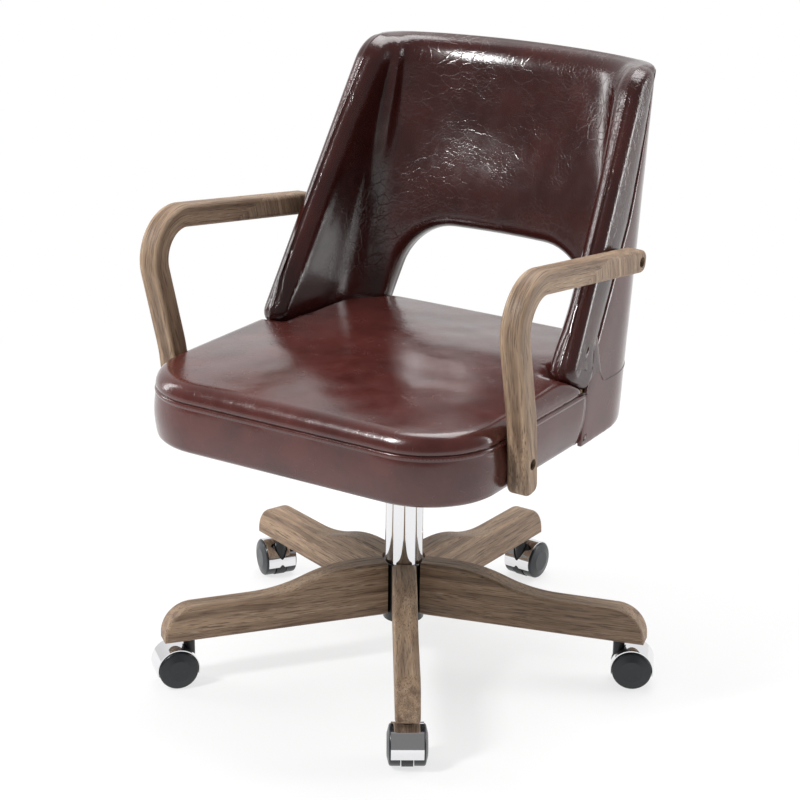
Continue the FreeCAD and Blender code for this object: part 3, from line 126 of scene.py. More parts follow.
def mottle(tree, place, scale, detail=3.0, rough=0.55, distortion=0.0):
    return node(tree, "ShaderNodeTexNoise", {
        "Vector": place, "Scale": scale, "Detail": detail, "Roughness": rough,
        "Distortion": distortion}).outputs[0]


def scaled(tree, place, by):
    return node(tree, "ShaderNodeVectorMath", {0: place, 1: by}, operation="MULTIPLY").outputs[0]


def group(name, inputs, outputs):
    """Shader node group with named sockets, and its input and output nodes."""
    tree = bpy.data.node_groups.new(name, "ShaderNodeTree")
    for label, kind in inputs:
        tree.interface.new_socket(label, in_out="INPUT", socket_type=kind)
    for label, kind in outputs:
        tree.interface.new_socket(label, in_out="OUTPUT", socket_type=kind)
    return tree, tree.nodes.new("NodeGroupInput").outputs, tree.nodes.new("NodeGroupOutput").inputs


VECTOR, FLOAT, COLOUR = "NodeSocketVector", "NodeSocketFloat", "NodeSocketColor"


def make_leather_grain():
    """Fine crinkle, pores and soft mottling of a glossy coated leather."""
    tree, given, result = group("leather_grain", [("Place", VECTOR), ("Crinkle", FLOAT)],
                                [("Height", FLOAT), ("Mottle", FLOAT), ("Dull", FLOAT)])
    place = given["Place"]
    drift = node(tree, "ShaderNodeTexNoise", {"Vector": place, "Scale": 38.0, "Detail": 3.0})
    bent = node(tree, "ShaderNodeVectorMath", {0: drift.outputs[1], 1: (0.014, 0.014, 0.014), 2: place},
                operation="MULTIPLY_ADD").outputs[0]
    creases = []
    for scale, width in ((70.0, 0.05), (190.0, 0.09)):
        cells = node(tree, "ShaderNodeTexVoronoi", {"Vector": bent, "Scale": scale},
                     feature="DISTANCE_TO_EDGE")
        creases.append(spread(tree, cells.outputs[0], 0.0, width))
    where = spread(tree, mottle(tree, place, 9.0, 2.0), 0.42, 0.62)
    coarse = sums(tree, "MULTIPLY", sums(tree, "SUBTRACT", 1.0, creases[0]), where)
    fine = sums(tree, "MULTIPLY", sums(tree, "SUBTRACT", 1.0, creases[1]),
                spread(tree, mottle(tree, place, 16.0, 2.0), 0.35, 0.6))
    lines = sums(tree, "ADD", sums(tree, "MULTIPLY", coarse, 0.55), sums(tree, "MULTIPLY", fine, 0.35))
    pores = node(tree, "ShaderNodeTexVoronoi", {"Vector": place, "Scale": 900.0}).outputs[0]
    swell = mottle(tree, place, 26.0, 4.0, 0.6)
    height = sums(tree, "MULTIPLY_ADD", lines, sums(tree, "MULTIPLY", given["Crinkle"], -1.0),
                  sums(tree, "MULTIPLY_ADD", pores, 0.10, sums(tree, "MULTIPLY", swell, 0.9)))
    tree.links.new(height, result["Height"])
    tree.links.new(mottle(tree, place, 14.0, 5.0, 0.6), result["Mottle"])
    # Dull: the crease lines and random mottle. It sets the gloss, and leather_finish also darkens the colour with
    # it, which is painted shade in the creases.
    tree.links.new(sums(tree, "MULTIPLY_ADD", lines, 0.5, mottle(tree, place, 55.0, 3.0)), result["Dull"])
    return tree


def make_oak_figure():
    """Wire-brushed oak: growth bands, open pores and pale lime in some of them. X runs with the grain."""
    tree, given, result = group("oak_figure", [("Grain", VECTOR)],
                                [("Colour", COLOUR), ("Height", FLOAT), ("Dull", FLOAT)])
    grain = given["Grain"]
    wander = node(tree, "ShaderNodeTexNoise", {"Vector": scaled(tree, grain, (5.0, 14.0, 14.0)),
                                               "Scale": 1.0, "Detail": 2.0}).outputs[1]
    bent = node(tree, "ShaderNodeVectorMath", {0: wander, 1: (0.0, 0.012, 0.012), 2: grain},
                operation="MULTIPLY_ADD").outputs[0]
    bands = mottle(tree, scaled(tree, bent, (2.5, 105.0, 105.0)), 1.0, 4.0, 0.62)
    pores = mottle(tree, scaled(tree, bent, (28.0, 900.0, 900.0)), 1.0, 2.0, 0.5)
    flecks = mottle(tree, scaled(tree, bent, (60.0, 420.0, 420.0)), 1.0, 2.0, 0.5)
    patches = mottle(tree, scaled(tree, grain, (7.0, 22.0, 22.0)), 1.0, 3.0, 0.6)
    tone = mixed(tree, spread(tree, bands, 0.36, 0.64), colour(98, 75, 57), colour(163, 137, 112))
    tone = mixed(tree, spread(tree, patches, 0.35, 0.7, 0.0, 0.55), tone, colour(167, 142, 117))
    open_pores = spread(tree, pores, 0.52, 0.66)
    tone = mixed(tree, sums(tree, "MULTIPLY", open_pores, 0.75), tone, colour(72, 52, 39))
    lime = sums(tree, "MULTIPLY", spread(tree, flecks, 0.56, 0.7),
                spread(tree, bands, 0.42, 0.6, 0.05, 0.35))
    tone = mixed(tree, lime, tone, colour(196, 180, 162))
    tree.links.new(tone, result["Colour"])
    height = sums(tree, "MULTIPLY_ADD", open_pores, -0.6, sums(tree, "MULTIPLY", bands, 0.8))
    tree.links.new(height, result["Height"])
    tree.links.new(spread(tree, bands, 0.3, 0.7, 0.48, 0.66), result["Dull"])
    return tree


def make_handling():
    """Faint smears and dust that vary the gloss of hard finishes."""
    tree, given, result = group("handling", [("Place", VECTOR), ("Amount", FLOAT)],
                                [("Smear", FLOAT), ("Dust", FLOAT), ("Height", FLOAT)])
    smear = spread(tree, mottle(tree, given["Place"], 30.0, 5.0, 0.65, 0.6), 0.35, 0.75)
    tree.links.new(sums(tree, "MULTIPLY", smear, given["Amount"]), result["Smear"])
    dust = spread(tree, mottle(tree, given["Place"], 210.0, 3.0), 0.55, 0.8)
    tree.links.new(sums(tree, "MULTIPLY", dust, given["Amount"]), result["Dust"])
    tree.links.new(mottle(tree, given["Place"], 700.0, 2.0), result["Height"])
    return tree


LEATHER_GRAIN = make_leather_grain()
OAK_FIGURE = make_oak_figure()
HANDLING = make_handling()


def finish_of(name):
    """New material, its tree, its Principled shader and its Object coordinates."""
    made = bpy.data.materials.new(name)
    made.use_nodes = True
    tree = made.node_tree
    return made, tree, tree.nodes["Principled BSDF"], node(tree, "ShaderNodeTexCoord").outputs["Object"]


def use_group(tree, of_group, inputs):
    made = node(tree, "ShaderNodeGroup", node_tree=of_group)
    feed(tree, made, inputs)
    return made.outputs


def bumped(tree, height, depth, strength=1.0):
    return node(tree, "ShaderNodeBump", {"Height": height, "Distance": depth,
                                         "Strength": strength}).outputs[0]


SEAT_TONES = (colour(66, 32, 29), colour(84, 43, 39))
# The back's tones are the seat's leather painted darker: painted shade for the back's inner face, which is the
# same leather as the seat.
BACK_SHADED_TONES = (colour(50, 22, 20), colour(64, 31, 28))


def leather_finish(name, crinkle, depth, tones):
    made, tree, shader, place = finish_of(name)
    grain = use_group(tree, LEATHER_GRAIN, {"Place": place, "Crinkle": crinkle})
    tone = mixed(tree, spread(tree, grain["Mottle"], 0.35, 0.65), *tones)
    # Darker where Dull is high: painted shade along the crinkle creases, and random darker patches of the
    # leather's own tone.
    tone = mixed(tree, spread(tree, grain["Dull"], 0.75, 1.1, 0.0, 0.4), tone, colour(46, 21, 19))
    tree.links.new(tone, shader.inputs["Base Color"])
    tree.links.new(spread(tree, grain["Dull"], 0.3, 1.0, 0.16, 0.32), shader.inputs["Roughness"])
    shader.inputs["Coat Weight"].default_value = 0.5
    shader.inputs["Coat Roughness"].default_value = 0.1
    normal = bumped(tree, grain["Height"], depth)
    tree.links.new(normal, shader.inputs["Normal"])
    tree.links.new(normal, shader.inputs["Coat Normal"])
    return made


def oak_finish(name, grain_of):
    """Limed oak, with the grain coordinate that grain_of(tree, place) gives."""
    made, tree, shader, place = finish_of(name)
    figure = use_group(tree, OAK_FIGURE, {"Grain": grain_of(tree, place)})
    tree.links.new(figure["Colour"], shader.inputs["Base Color"])
    tree.links.new(figure["Dull"], shader.inputs["Roughness"])
    tree.links.new(bumped(tree, figure["Height"], 0.0005, 0.7), shader.inputs["Normal"])
    return made


def straight_grain(heading):
    """Grain along a base arm, which runs out from the column at that heading."""
    def grain_of(tree, place):
        return node(tree, "ShaderNodeMapping", {
            "Vector": place, "Location": (0.0, 0.0, 0.0), "Rotation": (0.0, 0.0, heading),
            "Scale": (1.0, 1.0, 1.0)}, vector_type="TEXTURE").outputs[0]
    return grain_of


def bent_grain(side):
    """Grain along an armrest: straight up the post, round the elbow and along the pad."""
    foot = (side * 254.3 * MM, -144.5 * MM, 333.0 * MM)
    toe, lean, rake = math.radians(1.7), math.radians(1.15), math.radians(6.0)
    post, riser, bend = 87.5 * MM, 185.0 * MM, 50.0 * MM
    knee, elbow = math.radians(8.3), math.radians(112.5)
    up = Vector((-math.sin(knee), math.cos(knee)))
    inward = Vector((math.cos(knee), math.sin(knee)))
    corner = Vector((0.0, post)) + up * riser
    centre = corner - up * bend * math.tan(elbow / 2) + inward * bend

    def grain_of(tree, place):
        local = node(tree, "ShaderNodeMapping", {
            "Vector": place, "Location": foot, "Rotation": (rake, side * lean, side * toe),
            "Scale": (1.0, 1.0, 1.0)}, vector_type="TEXTURE").outputs[0]
        parts = node(tree, "ShaderNodeSeparateXYZ", {0: local}).outputs
        along = sums(tree, "SUBTRACT", parts[1], centre.x)
        rise = sums(tree, "SUBTRACT", parts[2], centre.y)
        outward = sums(tree, "MULTIPLY_ADD", along, -inward.x, sums(tree, "MULTIPLY", rise, -inward.y))
        onward = sums(tree, "MULTIPLY_ADD", along, up.x, sums(tree, "MULTIPLY", rise, up.y))
        turn = sums(tree, "ARCTAN2", onward, outward)
        turn = node(tree, "ShaderNodeClamp", {0: turn, 1: 0.0, 2: elbow}).outputs[0]
        cosine, sine = sums(tree, "COSINE", turn), sums(tree, "SINE", turn)
        radial = sums(tree, "MULTIPLY_ADD", outward, cosine, sums(tree, "MULTIPLY", onward, sine))
        tangent = sums(tree, "SUBTRACT", sums(tree, "MULTIPLY", onward, cosine),
                       sums(tree, "MULTIPLY", outward, sine))
        length = sums(tree, "MULTIPLY_ADD", turn, bend, tangent)
        return node(tree, "ShaderNodeCombineXYZ", {0: length, 1: radial, 2: parts[0]}).outputs[0]
    return grain_of


def hard_finish(name, tone, rough, metallic=0.0, coat=0.0, amount=0.5, depth=0.00004):
    """Metal, paint or plastic whose gloss varies with handling."""
    made, tree, shader, place = finish_of(name)
    marks = use_group(tree, HANDLING, {"Place": place, "Amount": amount})
    lighter = tuple(min(1.0, part * 1.25 + 0.012) for part in tone[:3]) + (1.0,)
    tree.links.new(mixed(tree, marks["Dust"], tone, lighter), shader.inputs["Base Color"])
    tree.links.new(spread(tree, marks["Smear"], 0.0, 1.0, rough, rough * 1.6 + 0.04),
                   shader.inputs["Roughness"])
    shader.inputs["Metallic"].default_value = metallic
    shader.inputs["Coat Weight"].default_value = coat
    tree.links.new(bumped(tree, marks["Height"], depth, 0.6), shader.inputs["Normal"])
    return made


def plywood_finish():
    made, tree, shader, place = finish_of("birch_plywood")
    plies = node(tree, "ShaderNodeTexWave", {"Vector": place, "Scale": 110.0, "Distortion": 1.5},
                 bands_direction="Z").outputs[1]
    tree.links.new(mixed(tree, plies, colour(168, 132, 92), colour(205, 172, 130)),
                   shader.inputs["Base Color"])
    shader.inputs["Roughness"].default_value = 0.6
    tree.links.new(bumped(tree, plies, 0.0002, 0.4), shader.inputs["Normal"])
    return made


def cloth_finish():
    """Thin black non-woven cloth under the seat."""
    made, tree, shader, place = finish_of("dust_cloth")
    fibres = mottle(tree, scaled(tree, place, (1.0, 1.0, 0.2)), 900.0, 4.0, 0.7, 1.5)
    dots = node(tree, "ShaderNodeTexVoronoi", {"Vector": place, "Scale": 420.0, "Randomness": 0.1}).outputs[0]
    tree.links.new(mixed(tree, fibres, colour(22, 22, 23), colour(48, 47, 47)), shader.inputs["Base Color"])
    shader.inputs["Roughness"].default_value = 0.9
    tree.links.new(bumped(tree, sums(tree, "ADD", fibres, dots), 0.0002, 0.6), shader.inputs["Normal"])
    return made


SEAT_LEATHER = leather_finish("burgundy_leather_seat", 0.4, 0.00022, SEAT_TONES)
# The back pad's leather takes the darker tones: painted shade over the seat's leather.
BACK_SHADED_LEATHER = leather_finish("burgundy_leather_back_shaded", 0.7, 0.00028, BACK_SHADED_TONES)
PANEL_LEATHER = leather_finish("burgundy_leather_panel", 0.25, 0.00018, SEAT_TONES)
THREAD = hard_finish("burgundy_thread", colour(92, 52, 48), 0.55, amount=0.4, depth=0.0001)
CHROME = hard_finish("polished_chrome", colour(232, 232, 234), 0.035, 1.0, amount=0.12, depth=0.000004)
STEEL = hard_finish("zinc_plated_steel", colour(178, 178, 176), 0.26, 1.0)
HUB_PAINT = hard_finish("satin_black_hub", colour(22, 22, 23), 0.34, coat=0.3)
POWDER_COAT = hard_finish("black_powder_coat", colour(26, 26, 27), 0.5, depth=0.0002)
DARK_STEEL = hard_finish("blackened_steel", colour(38, 37, 37), 0.36, 0.7)
PLASTIC = hard_finish("black_moulding", colour(24, 24, 26), 0.42, depth=0.00012)
NYLON = hard_finish("wheel_nylon", colour(27, 31, 35), 0.3, coat=0.15, depth=0.00006)
PLYWOOD = plywood_finish()
DUST_CLOTH = cloth_finish()

FINISHES = {"black_hub": HUB_PAINT, "black_steel": DARK_STEEL, "chrome_cover": CHROME,
            "chrome_hood": CHROME, "black_paint": POWDER_COAT, "bright_steel": STEEL,
            "black_plastic": PLASTIC, "wheel_nylon": NYLON, "plywood": PLYWOOD,
            "dust_cloth": DUST_CLOTH, "burgundy_leather": SEAT_LEATHER, "panel_leather": PANEL_LEATHER}


def give(piece, finish):
    if piece.material_slots:
        piece.material_slots[0].material = finish
    else:
        piece.data.materials.append(finish)


def dress_solids():
    for entry in frame["record"]["subparts"]:
        if entry["material_slot"] in FINISHES:
            give(NODES[entry["node"]], FINISHES[entry["material_slot"]])
    for joint in frame["joints"]:
        if joint["name"].startswith("caster_") and joint["name"].endswith("_swivel"):
            number = joint["name"].split("_")[1]
            heading = math.atan2(joint["pos_m"][1], joint["pos_m"][0])
            give(NODES["base_arm_" + number],
                 oak_finish("limed_oak_arm_" + number, straight_grain(heading)))
    give(NODES["armrest_left"], oak_finish("limed_oak_rest_left", bent_grain(1)))
    give(NODES["armrest_right"], oak_finish("limed_oak_rest_right", bent_grain(-1)))


# Outlines and skins

def rounded_loop(corners, spacing):
    """Evenly spaced points round corners (across, up, radius), counter-clockwise as given."""
    path = []
    count = len(corners)
    for index, corner in enumerate(corners):
        place = np.array(corner[:2], float)
        radius = corner[2] if len(corner) > 2 else 0.0
        if not radius:
            path.append(place)
            continue
        before = np.array(corners[index - 1][:2], float) - place
        after = np.array(corners[(index + 1) % count][:2], float) - place
        before, after = before / np.linalg.norm(before), after / np.linalg.norm(after)
        half = math.acos(max(-1.0, min(1.0, float(before @ after)))) / 2
        start, end = place + before * radius / math.tan(half), place + after * radius / math.tan(half)
        bisector = (before + after) / np.linalg.norm(before + after)
        centre = place + bisector * radius / math.sin(half)
        first = math.atan2(*(start - centre)[::-1])
        sweep = math.atan2(*(end - centre)[::-1]) - first
        sweep = (sweep + math.pi) % (2 * math.pi) - math.pi
        for step in range(13):
            angle = first + sweep * step / 12
            path.append(centre + radius * np.array([math.cos(angle), math.sin(angle)]))
    return evenly(np.array(path), spacing, closed=True)


def evenly(path, spacing, closed=False, count=None):
    """Points at even steps along a path."""
    if closed:
        path = np.vstack([path, path[:1]])
    steps = np.linalg.norm(np.diff(path, axis=0), axis=1)
    reach = np.concatenate([[0.0], np.cumsum(steps)])
    count = count or max(8, int(round(reach[-1] / spacing)))
    marks = np.linspace(0.0, reach[-1], count + 1 if closed else count)
    if closed:
        marks = marks[:-1]
    return np.column_stack([np.interp(marks, reach, path[:, axis]) for axis in range(path.shape[1])])


def inward_normals(loop):
    """Unit normals into a counter-clockwise loop."""
    along = np.roll(loop, -1, 0) - np.roll(loop, 1, 0)
    along /= np.linalg.norm(along, axis=1)[:, None]
    return np.column_stack([-along[:, 1], along[:, 0]])


def inside(points, loop):
    """Which points lie inside a closed loop."""
    result = np.zeros(len(points), bool)
    x, y = points[:, 0], points[:, 1]
    for (x1, y1), (x2, y2) in zip(loop, np.roll(loop, -1, 0)):
        crosses = (y1 > y) != (y2 > y)
        with np.errstate(divide="ignore", invalid="ignore"):
            result ^= crosses & (x < (x2 - x1) * (y - y1) / (y2 - y1) + x1)
    return result


class Skin:
    """Points and faces of one closed piece, gathered ring by ring."""

    def __init__(self):
        self.points = []
        self.faces = []

    def add(self, points):
        start = len(self.points)
        self.points.extend(map(tuple, points))
        return list(range(start, len(self.points)))

    def bridge(self, first, second):
        count = len(first)
        for index in range(count):
            after = (index + 1) % count
            self.faces.append((first[index], first[after], second[after], second[index]))

    def rings(self, rings):
        """Adds rings of points, each joined to the one before, and gives their indices."""
        made = [self.add(ring) for ring in rings]
        for first, second in zip(made, made[1:]):
            self.bridge(first, second)
        return made

    def fill(self, loops, flats, to_space, spacing):
        """Fills the area inside the first flat loop, outside the others, whose points are there."""
        low, high = flats[0].min(0), flats[0].max(0)
        across = np.arange(low[0] + spacing / 2, high[0], spacing)
        up = np.arange(low[1] + spacing / 2, high[1], spacing)
        grid = np.array(np.meshgrid(across, up)).reshape(2, -1).T
        kept = inside(grid, flats[0])
        for hole in flats[1:]:
            kept &= ~inside(grid, hole)
        grid = grid[kept]
        edge_points = np.vstack(flats)
        near = np.full(len(grid), np.inf)
        for start in range(0, len(edge_points), 64):
            gaps = grid[:, None, :] - edge_points[None, start:start + 64, :]
            near = np.minimum(near, np.linalg.norm(gaps, axis=2).min(1))
        grid = grid[near > spacing * 0.7]
        known = [index for loop in loops for index in loop] + self.add(to_space(grid))
        coords = [Vector(point) for point in np.vstack([edge_points, grid])]
        edges = []
        start = 0
        for flat in flats:
            count = len(flat)
            edges += [(start + index, start + (index + 1) % count) for index in range(count)]
            start += count
        flat_points, _, faces, origin, _, _ = delaunay_2d_cdt(coords, edges, [], 0, 1e-6)
        middles = np.array([sum((flat_points[index] for index in face), Vector((0, 0))) / 3
                            for face in faces])
        wanted = inside(middles, flats[0])
        for hole in flats[1:]:
            wanted &= ~inside(middles, hole)
        given = np.vstack([edge_points, grid])

        def source(index):
            if origin[index]:
                return known[origin[index][0]]
            return known[int(np.linalg.norm(given - np.array(flat_points[index]), axis=1).argmin())]

        for face, keep in zip(faces, wanted):
            corners = [source(index) for index in face]
            if keep and len(set(corners)) == 3:
                self.faces.append(tuple(corners))

    def make(self, name, finish, body="seat"):
        mesh = bpy.data.meshes.new(name)
        mesh.from_pydata([tuple(c * MM for c in point) for point in self.points], [], self.faces)
        work = bmesh.new()
        work.from_mesh(mesh)
        bmesh.ops.remove_doubles(work, verts=work.verts, dist=1e-6)
        loose = [vert for vert in work.verts if not vert.link_faces]
        bmesh.ops.delete(work, geom=loose, context="VERTS")
        bmesh.ops.recalc_face_normals(work, faces=work.faces)
        for face in work.faces:
            face.smooth = True
        work.to_mesh(mesh)
        work.free()
        piece = bpy.data.objects.new(name, mesh)
        bpy.context.scene.collection.objects.link(piece)
        mesh.materials.append(finish)
        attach(piece, body)
        return piece


def ease(value, low, high):
    """Smooth step from 0 at low to 1 at high."""
    share = np.clip((value - low) / (high - low), 0.0, 1.0)
    return share * share * (3 - 2 * share)


def ripple(points, length, seed=0.0):
    """Smooth noise of about one unit at each point, with the given wave length in millimetres."""
    return np.array([noise.noise(Vector(point) / length + Vector((seed, seed, seed))) for point in points])


# The back: a wall that follows a plan outline, unrolled to (along, up) with a depth inwards

def back_shape(up):
    share = (up - BACK_BOTTOM) / (BACK_TOP - BACK_BOTTOM)
    half, turn, corner = (low + share * (high - low) for low, high in (BACK_HALF, BACK_TURN, BACK_CORNER))
    centre = half - corner
    rear = (centre + corner * math.sin(CORNER_END)) / math.sin(CORNER_END)
    rear_centre = turn + (corner - rear) * math.cos(CORNER_END)
    return half, turn, corner, centre, rear, rear_centre


def along_of(behind, up):
    """Distance along the wall from the middle of the back to a place that far behind the axis."""
    half, turn, corner, centre, rear, rear_centre = back_shape(up)
    to_sides = rear * CORNER_END + corner * (math.pi / 2 - CORNER_END)
    if behind <= turn:
        return to_sides + turn - behind
    return to_sides - corner * (math.pi / 2 - math.acos((behind - turn) / corner))


def wall(flat, depth):
    """Places in space of unrolled points (along, up), that far in from the outer face."""
    along, up = np.abs(flat[:, 0]), flat[:, 1]
    half, turn, corner, centre, rear, rear_centre = back_shape(up)
    to_corner = rear * CORNER_END
    to_sides = to_corner + corner * (math.pi / 2 - CORNER_END)
    rear_angle = along / rear
    angle = np.clip(CORNER_END + (along - to_corner) / corner, CORNER_END, math.pi / 2)
    on_rear, on_side = along <= to_corner, along > to_sides
    x = np.where(on_rear, (rear - depth) * np.sin(rear_angle), centre + (corner - depth) * np.sin(angle))
    y = np.where(on_rear, rear_centre + (rear - depth) * np.cos(rear_angle),
                 turn + (corner - depth) * np.cos(angle))
    y = np.where(on_side, turn - (along - to_sides), y)
    return np.column_stack([np.sign(flat[:, 0]) * x, y, up])


ARCH = [(-172.0, PAD_BOTTOM, 24.0), (-137.5, 522.0, 84.0), (137.5, 522.0, 84.0), (172.0, PAD_BOTTOM, 24.0)]


def mirrored(right):
    """Corners of the right half and, in reverse, of the left."""
    return right + [(-corner[0],) + tuple(corner[1:]) for corner in reversed(right)]


def seam_corners(shift):
    """The side seam and the top seam, moved in from the front by the shift."""
    run = ((39.0, PAD_BOTTOM, 0.0), (56.0, 430.0, 56.0), (165.0, 592.0, 165.0))
    side = [(along_of(behind + shift, up), up, radius) for behind, up, radius in run]
    top = 762.0 - shift
    return side + [(along_of(246.0 + shift, top), top, 6.0)]


def corner_middle(up):
    """Distance along the wall to the middle of its turn into the side."""
    half, turn, corner, centre, rear, rear_centre = back_shape(up)
    return rear * CORNER_END + corner * (math.pi / 2 - CORNER_END) / 2


def pad_thickness(flat):
    """Padding is thicker over the arch, and fills the tight turns into the sides."""
    across = 1 - ease(np.abs(flat[:, 0]), 60.0, 235.0)
    low = ease(flat[:, 1], 430.0, 535.0)
    high = 1 - ease(flat[:, 1], 560.0, 680.0)
    turned = np.exp(-((np.abs(flat[:, 0]) - corner_middle(flat[:, 1])) / 48.0) ** 2)
    tight = ease(flat[:, 1], 430.0, 700.0) * (1 - 0.4 * ease(flat[:, 1], 735.0, 770.0))
    return PAD_THICK + 13.0 * across * low * high + 14.0 * turned * tight


def make_back_pad():
    outline = rounded_loop(mirrored([
        (along_of(46.0, PAD_BOTTOM), PAD_BOTTOM, 19.0), (along_of(0.0, 424.0), 424.0, 20.0),
        (along_of(211.0, BACK_TOP), BACK_TOP, 45.0)]) + ARCH, 5.0)
    inward = inward_normals(outline)
    seam = rounded_loop(mirrored(seam_corners(0.0)), 5.0)
    in_arch = (np.abs(outline[:, 0]) < 190.0) & (outline[:, 1] < 530.0)
    to_seam = np.full(len(outline), 8.0)
    for reach in np.arange(80.0, 7.5, -0.5):
        short = ~inside(outline + inward * reach, seam) & ~in_arch & (to_seam <= 8.0)
        to_seam = np.where(short, reach, to_seam)
    to_seam = smooth_round(to_seam, in_arch, 4)
    front_round = 15.0 + 19.0 * ease(outline[:, 1], 445.0, 520.0)
    front_round = smooth_round(np.where(in_arch, 20.0, front_round), np.zeros(len(outline), bool), 6)
    front_depth = np.minimum(front_round, 23.0)
    rear_face = np.where(in_arch, PANEL_THICK + 0.6, 0.0)
    rear_round = np.where(in_arch, 2.5, np.minimum(13.0, to_seam - 3.2))

    def at(reach, depth):
        flat = outline + inward * np.broadcast_to(reach, len(outline))[:, None]
        return wall(flat, depth)

    def thickness(reach):
        return pad_thickness(outline + inward * np.broadcast_to(reach, len(outline))[:, None])

    skin = Skin()
    pucker = 0.9 * ripple(np.column_stack([outline, np.zeros(len(outline))]), 9.0)
    rings = []
    steps = 8
    for step in range(steps + 1):
        angle = math.pi / 2 * step / steps
        reach = front_round * (1 - math.sin(angle))
        rings.append(at(reach, thickness(front_round) - front_depth * (1 - math.cos(angle))))
    front = thickness(front_round) - front_depth
    rear = rear_face + rear_round
    for share in (0.25, 0.5, 0.75):
        rings.append(at(-1.6 * math.sin(math.pi * share), front + (rear - front) * share))
    for step in range(steps + 1):
        angle = math.pi / 2 * step / steps
        rings.append(at(rear_round * (1 - math.cos(angle)), rear_face + rear_round * (1 - math.sin(angle))))
    belly = np.where(in_arch, 0.0, 1.2)
    for share in (0.35, 0.7):
        reach = rear_round + (to_seam - 2.6 - rear_round) * share
        rings.append(at(reach, rear_face - belly * math.sin(math.pi * share) + 0.25 * pucker))
    for reach, depth in ((2.6, 0.1), (0.9, 0.7), (0.2, 2.2)):
        rings.append(at(to_seam - reach, rear_face + depth + 0.35 * pucker))
    rings.append(at(to_seam + 0.2, np.full(len(outline), SHELL_INNER)))
    made = skin.rings(rings)
    start = outline + inward * front_round[:, None]
    skin.fill([made[0]], [start], lambda flat: wall(flat, pad_thickness(flat) + leather_drift(flat)), 7.0)
    hidden = outline + inward * (to_seam + 0.2)[:, None]
    skin.fill([made[-1]], [hidden], lambda flat: wall(flat, np.full(len(flat), SHELL_INNER)), 16.0)
    piece = skin.make("back_padding", BACK_SHADED_LEATHER)
    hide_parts("back_pad")


def smooth_round(values, held, times):
    """Evens out a value round a closed loop, apart from where it is held."""
    for _ in range(times):
        even = (np.roll(values, 1) + values * 2 + np.roll(values, -1)) / 4
        values = np.where(held, values, even)
    return values


def leather_drift(flat):
    """Slow unevenness of leather over foam, in millimetres."""
    points = np.column_stack([flat, np.zeros(len(flat))])
    return 0.55 * ripple(points, 75.0, 3.0) + 0.25 * ripple(points, 32.0, 8.0)


def make_back_panel():
    right = [(along_of(23.0, BACK_BOTTOM), 332.0, 6.0)] + seam_corners(SEAM_SLOT)
    left = [(-corner[0],) + tuple(corner[1:]) for corner in reversed(right)]
    outline = rounded_loop(right + left + [(-160.0, 337.0, 60.0), (160.0, 337.0, 60.0)], 5.0)
    low = 398.0
    hole = rounded_loop([(174.0, low, 14.0), (139.5, 524.0, 86.0), (-139.5, 524.0, 86.0),
                         (-174.0, low, 14.0)], 5.0)
    skin = Skin()
    loops = []
    for loop, into in ((outline, 1.0), (hole, -1.0)):
        inward = inward_normals(loop) * into
        pucker = 0.5 * ripple(np.column_stack([loop, np.zeros(len(loop))]), 9.0, 5.0)
        rings = []
        for reach, depth in ((14.0, -0.4), (7.0, -0.3), (2.6, 0.0), (0.8, 0.7), (0.0, 2.4),
                             (0.2, 4.2), (1.2, PANEL_THICK)):
            near_edge = pucker if reach < 7.0 else 0.0
            rings.append(wall(loop + inward * reach, depth + near_edge * 0.7))
        loops.append((loop, inward, skin.rings(rings)))
    for ring, reach, depth, spacing in ((0, 14.0, -0.4, 8.0), (-1, 1.2, PANEL_THICK, 14.0)):
        flats = [loop + inward * reach for loop, inward, _ in loops]
        level = depth

        def at_depth(flat, level=level, ring=ring):
            return wall(flat, level + (leather_drift(flat) * 0.8 if ring == 0 else 0.0))

        skin.fill([made[ring] for _, _, made in loops], flats, at_depth, spacing)
    piece = skin.make("back_panel_leather", PANEL_LEATHER)
    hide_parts("back_panel")


# The seat: a crowned top, a felled seam and a boxing band, closed round the frame

FRONT_COUNT, REAR_COUNT = 84, 64


def both_sides(right):
    """Closed counter-clockwise loop from the right half, which runs from the front to the rear."""
    left = right[::-1].copy()
    left[:, 0] *= -1
    return np.vstack([right, left[1:-1]])


def arc_points(centre, radius, first, last, count=10):
    angles = np.radians(np.linspace(first, last, count))
    return np.column_stack([centre[0] + radius * np.cos(angles), centre[1] + radius * np.sin(angles)])


def front_run(stop):
    """Right half of the front, from its middle round the corner and back to a stop."""
    corner = arc_points((SEAT_HALF - SEAT_CORNER, SEAT_FRONT + SEAT_CORNER), SEAT_CORNER, -90, 0, 24)
    path = np.vstack([[(0.0, SEAT_FRONT)], corner, [(SEAT_HALF, stop)]])
    return evenly(path, 0, count=FRONT_COUNT)


def pillow_outline():
    """The top of the cushion, which steps in between the padded sides of the back."""
    step, outer_round, inner_round = 44.0, 25.0, 8.0
    level = 424.0
    half, turn, corner, centre, rear, rear_centre = back_shape(level)
    depth = PAD_THICK + 0.6
    neck = half - depth
    edge_angle = 30.0
    path = np.vstack([
        arc_points((SEAT_HALF - outer_round, step - outer_round), outer_round, 0, 90),
        arc_points((neck + inner_round, step + inner_round), inner_round, 270, 180),
        arc_points((centre, turn), corner - depth, 0, 90 - edge_angle),
        arc_points((172.0 - 36.0, SEAT_REAR - 36.0), 36.0, 25, 90), [(0.0, SEAT_REAR)]])
    return both_sides(np.vstack([front_run(step - outer_round), evenly(path, 0, count=REAR_COUNT + 1)[1:]]))


def boxing_outline(level, rear_inset):
    """The cushion below its seam: its own front and sides, then inside the shell of the back."""
    stop = 21.0 + (level - BACK_BOTTOM) * 18.0 / 62.0
    run = np.linspace(along_of(stop + 1.0, level), 0.0, 60)
    rear = wall(np.column_stack([run, np.full(60, level)]), np.full(60, rear_inset))[:, :2]
    path = np.vstack([[(SEAT_HALF, stop)], rear])
    return both_sides(np.vstack([front_run(stop), evenly(path, 0, count=REAR_COUNT + 1)[1:]]))


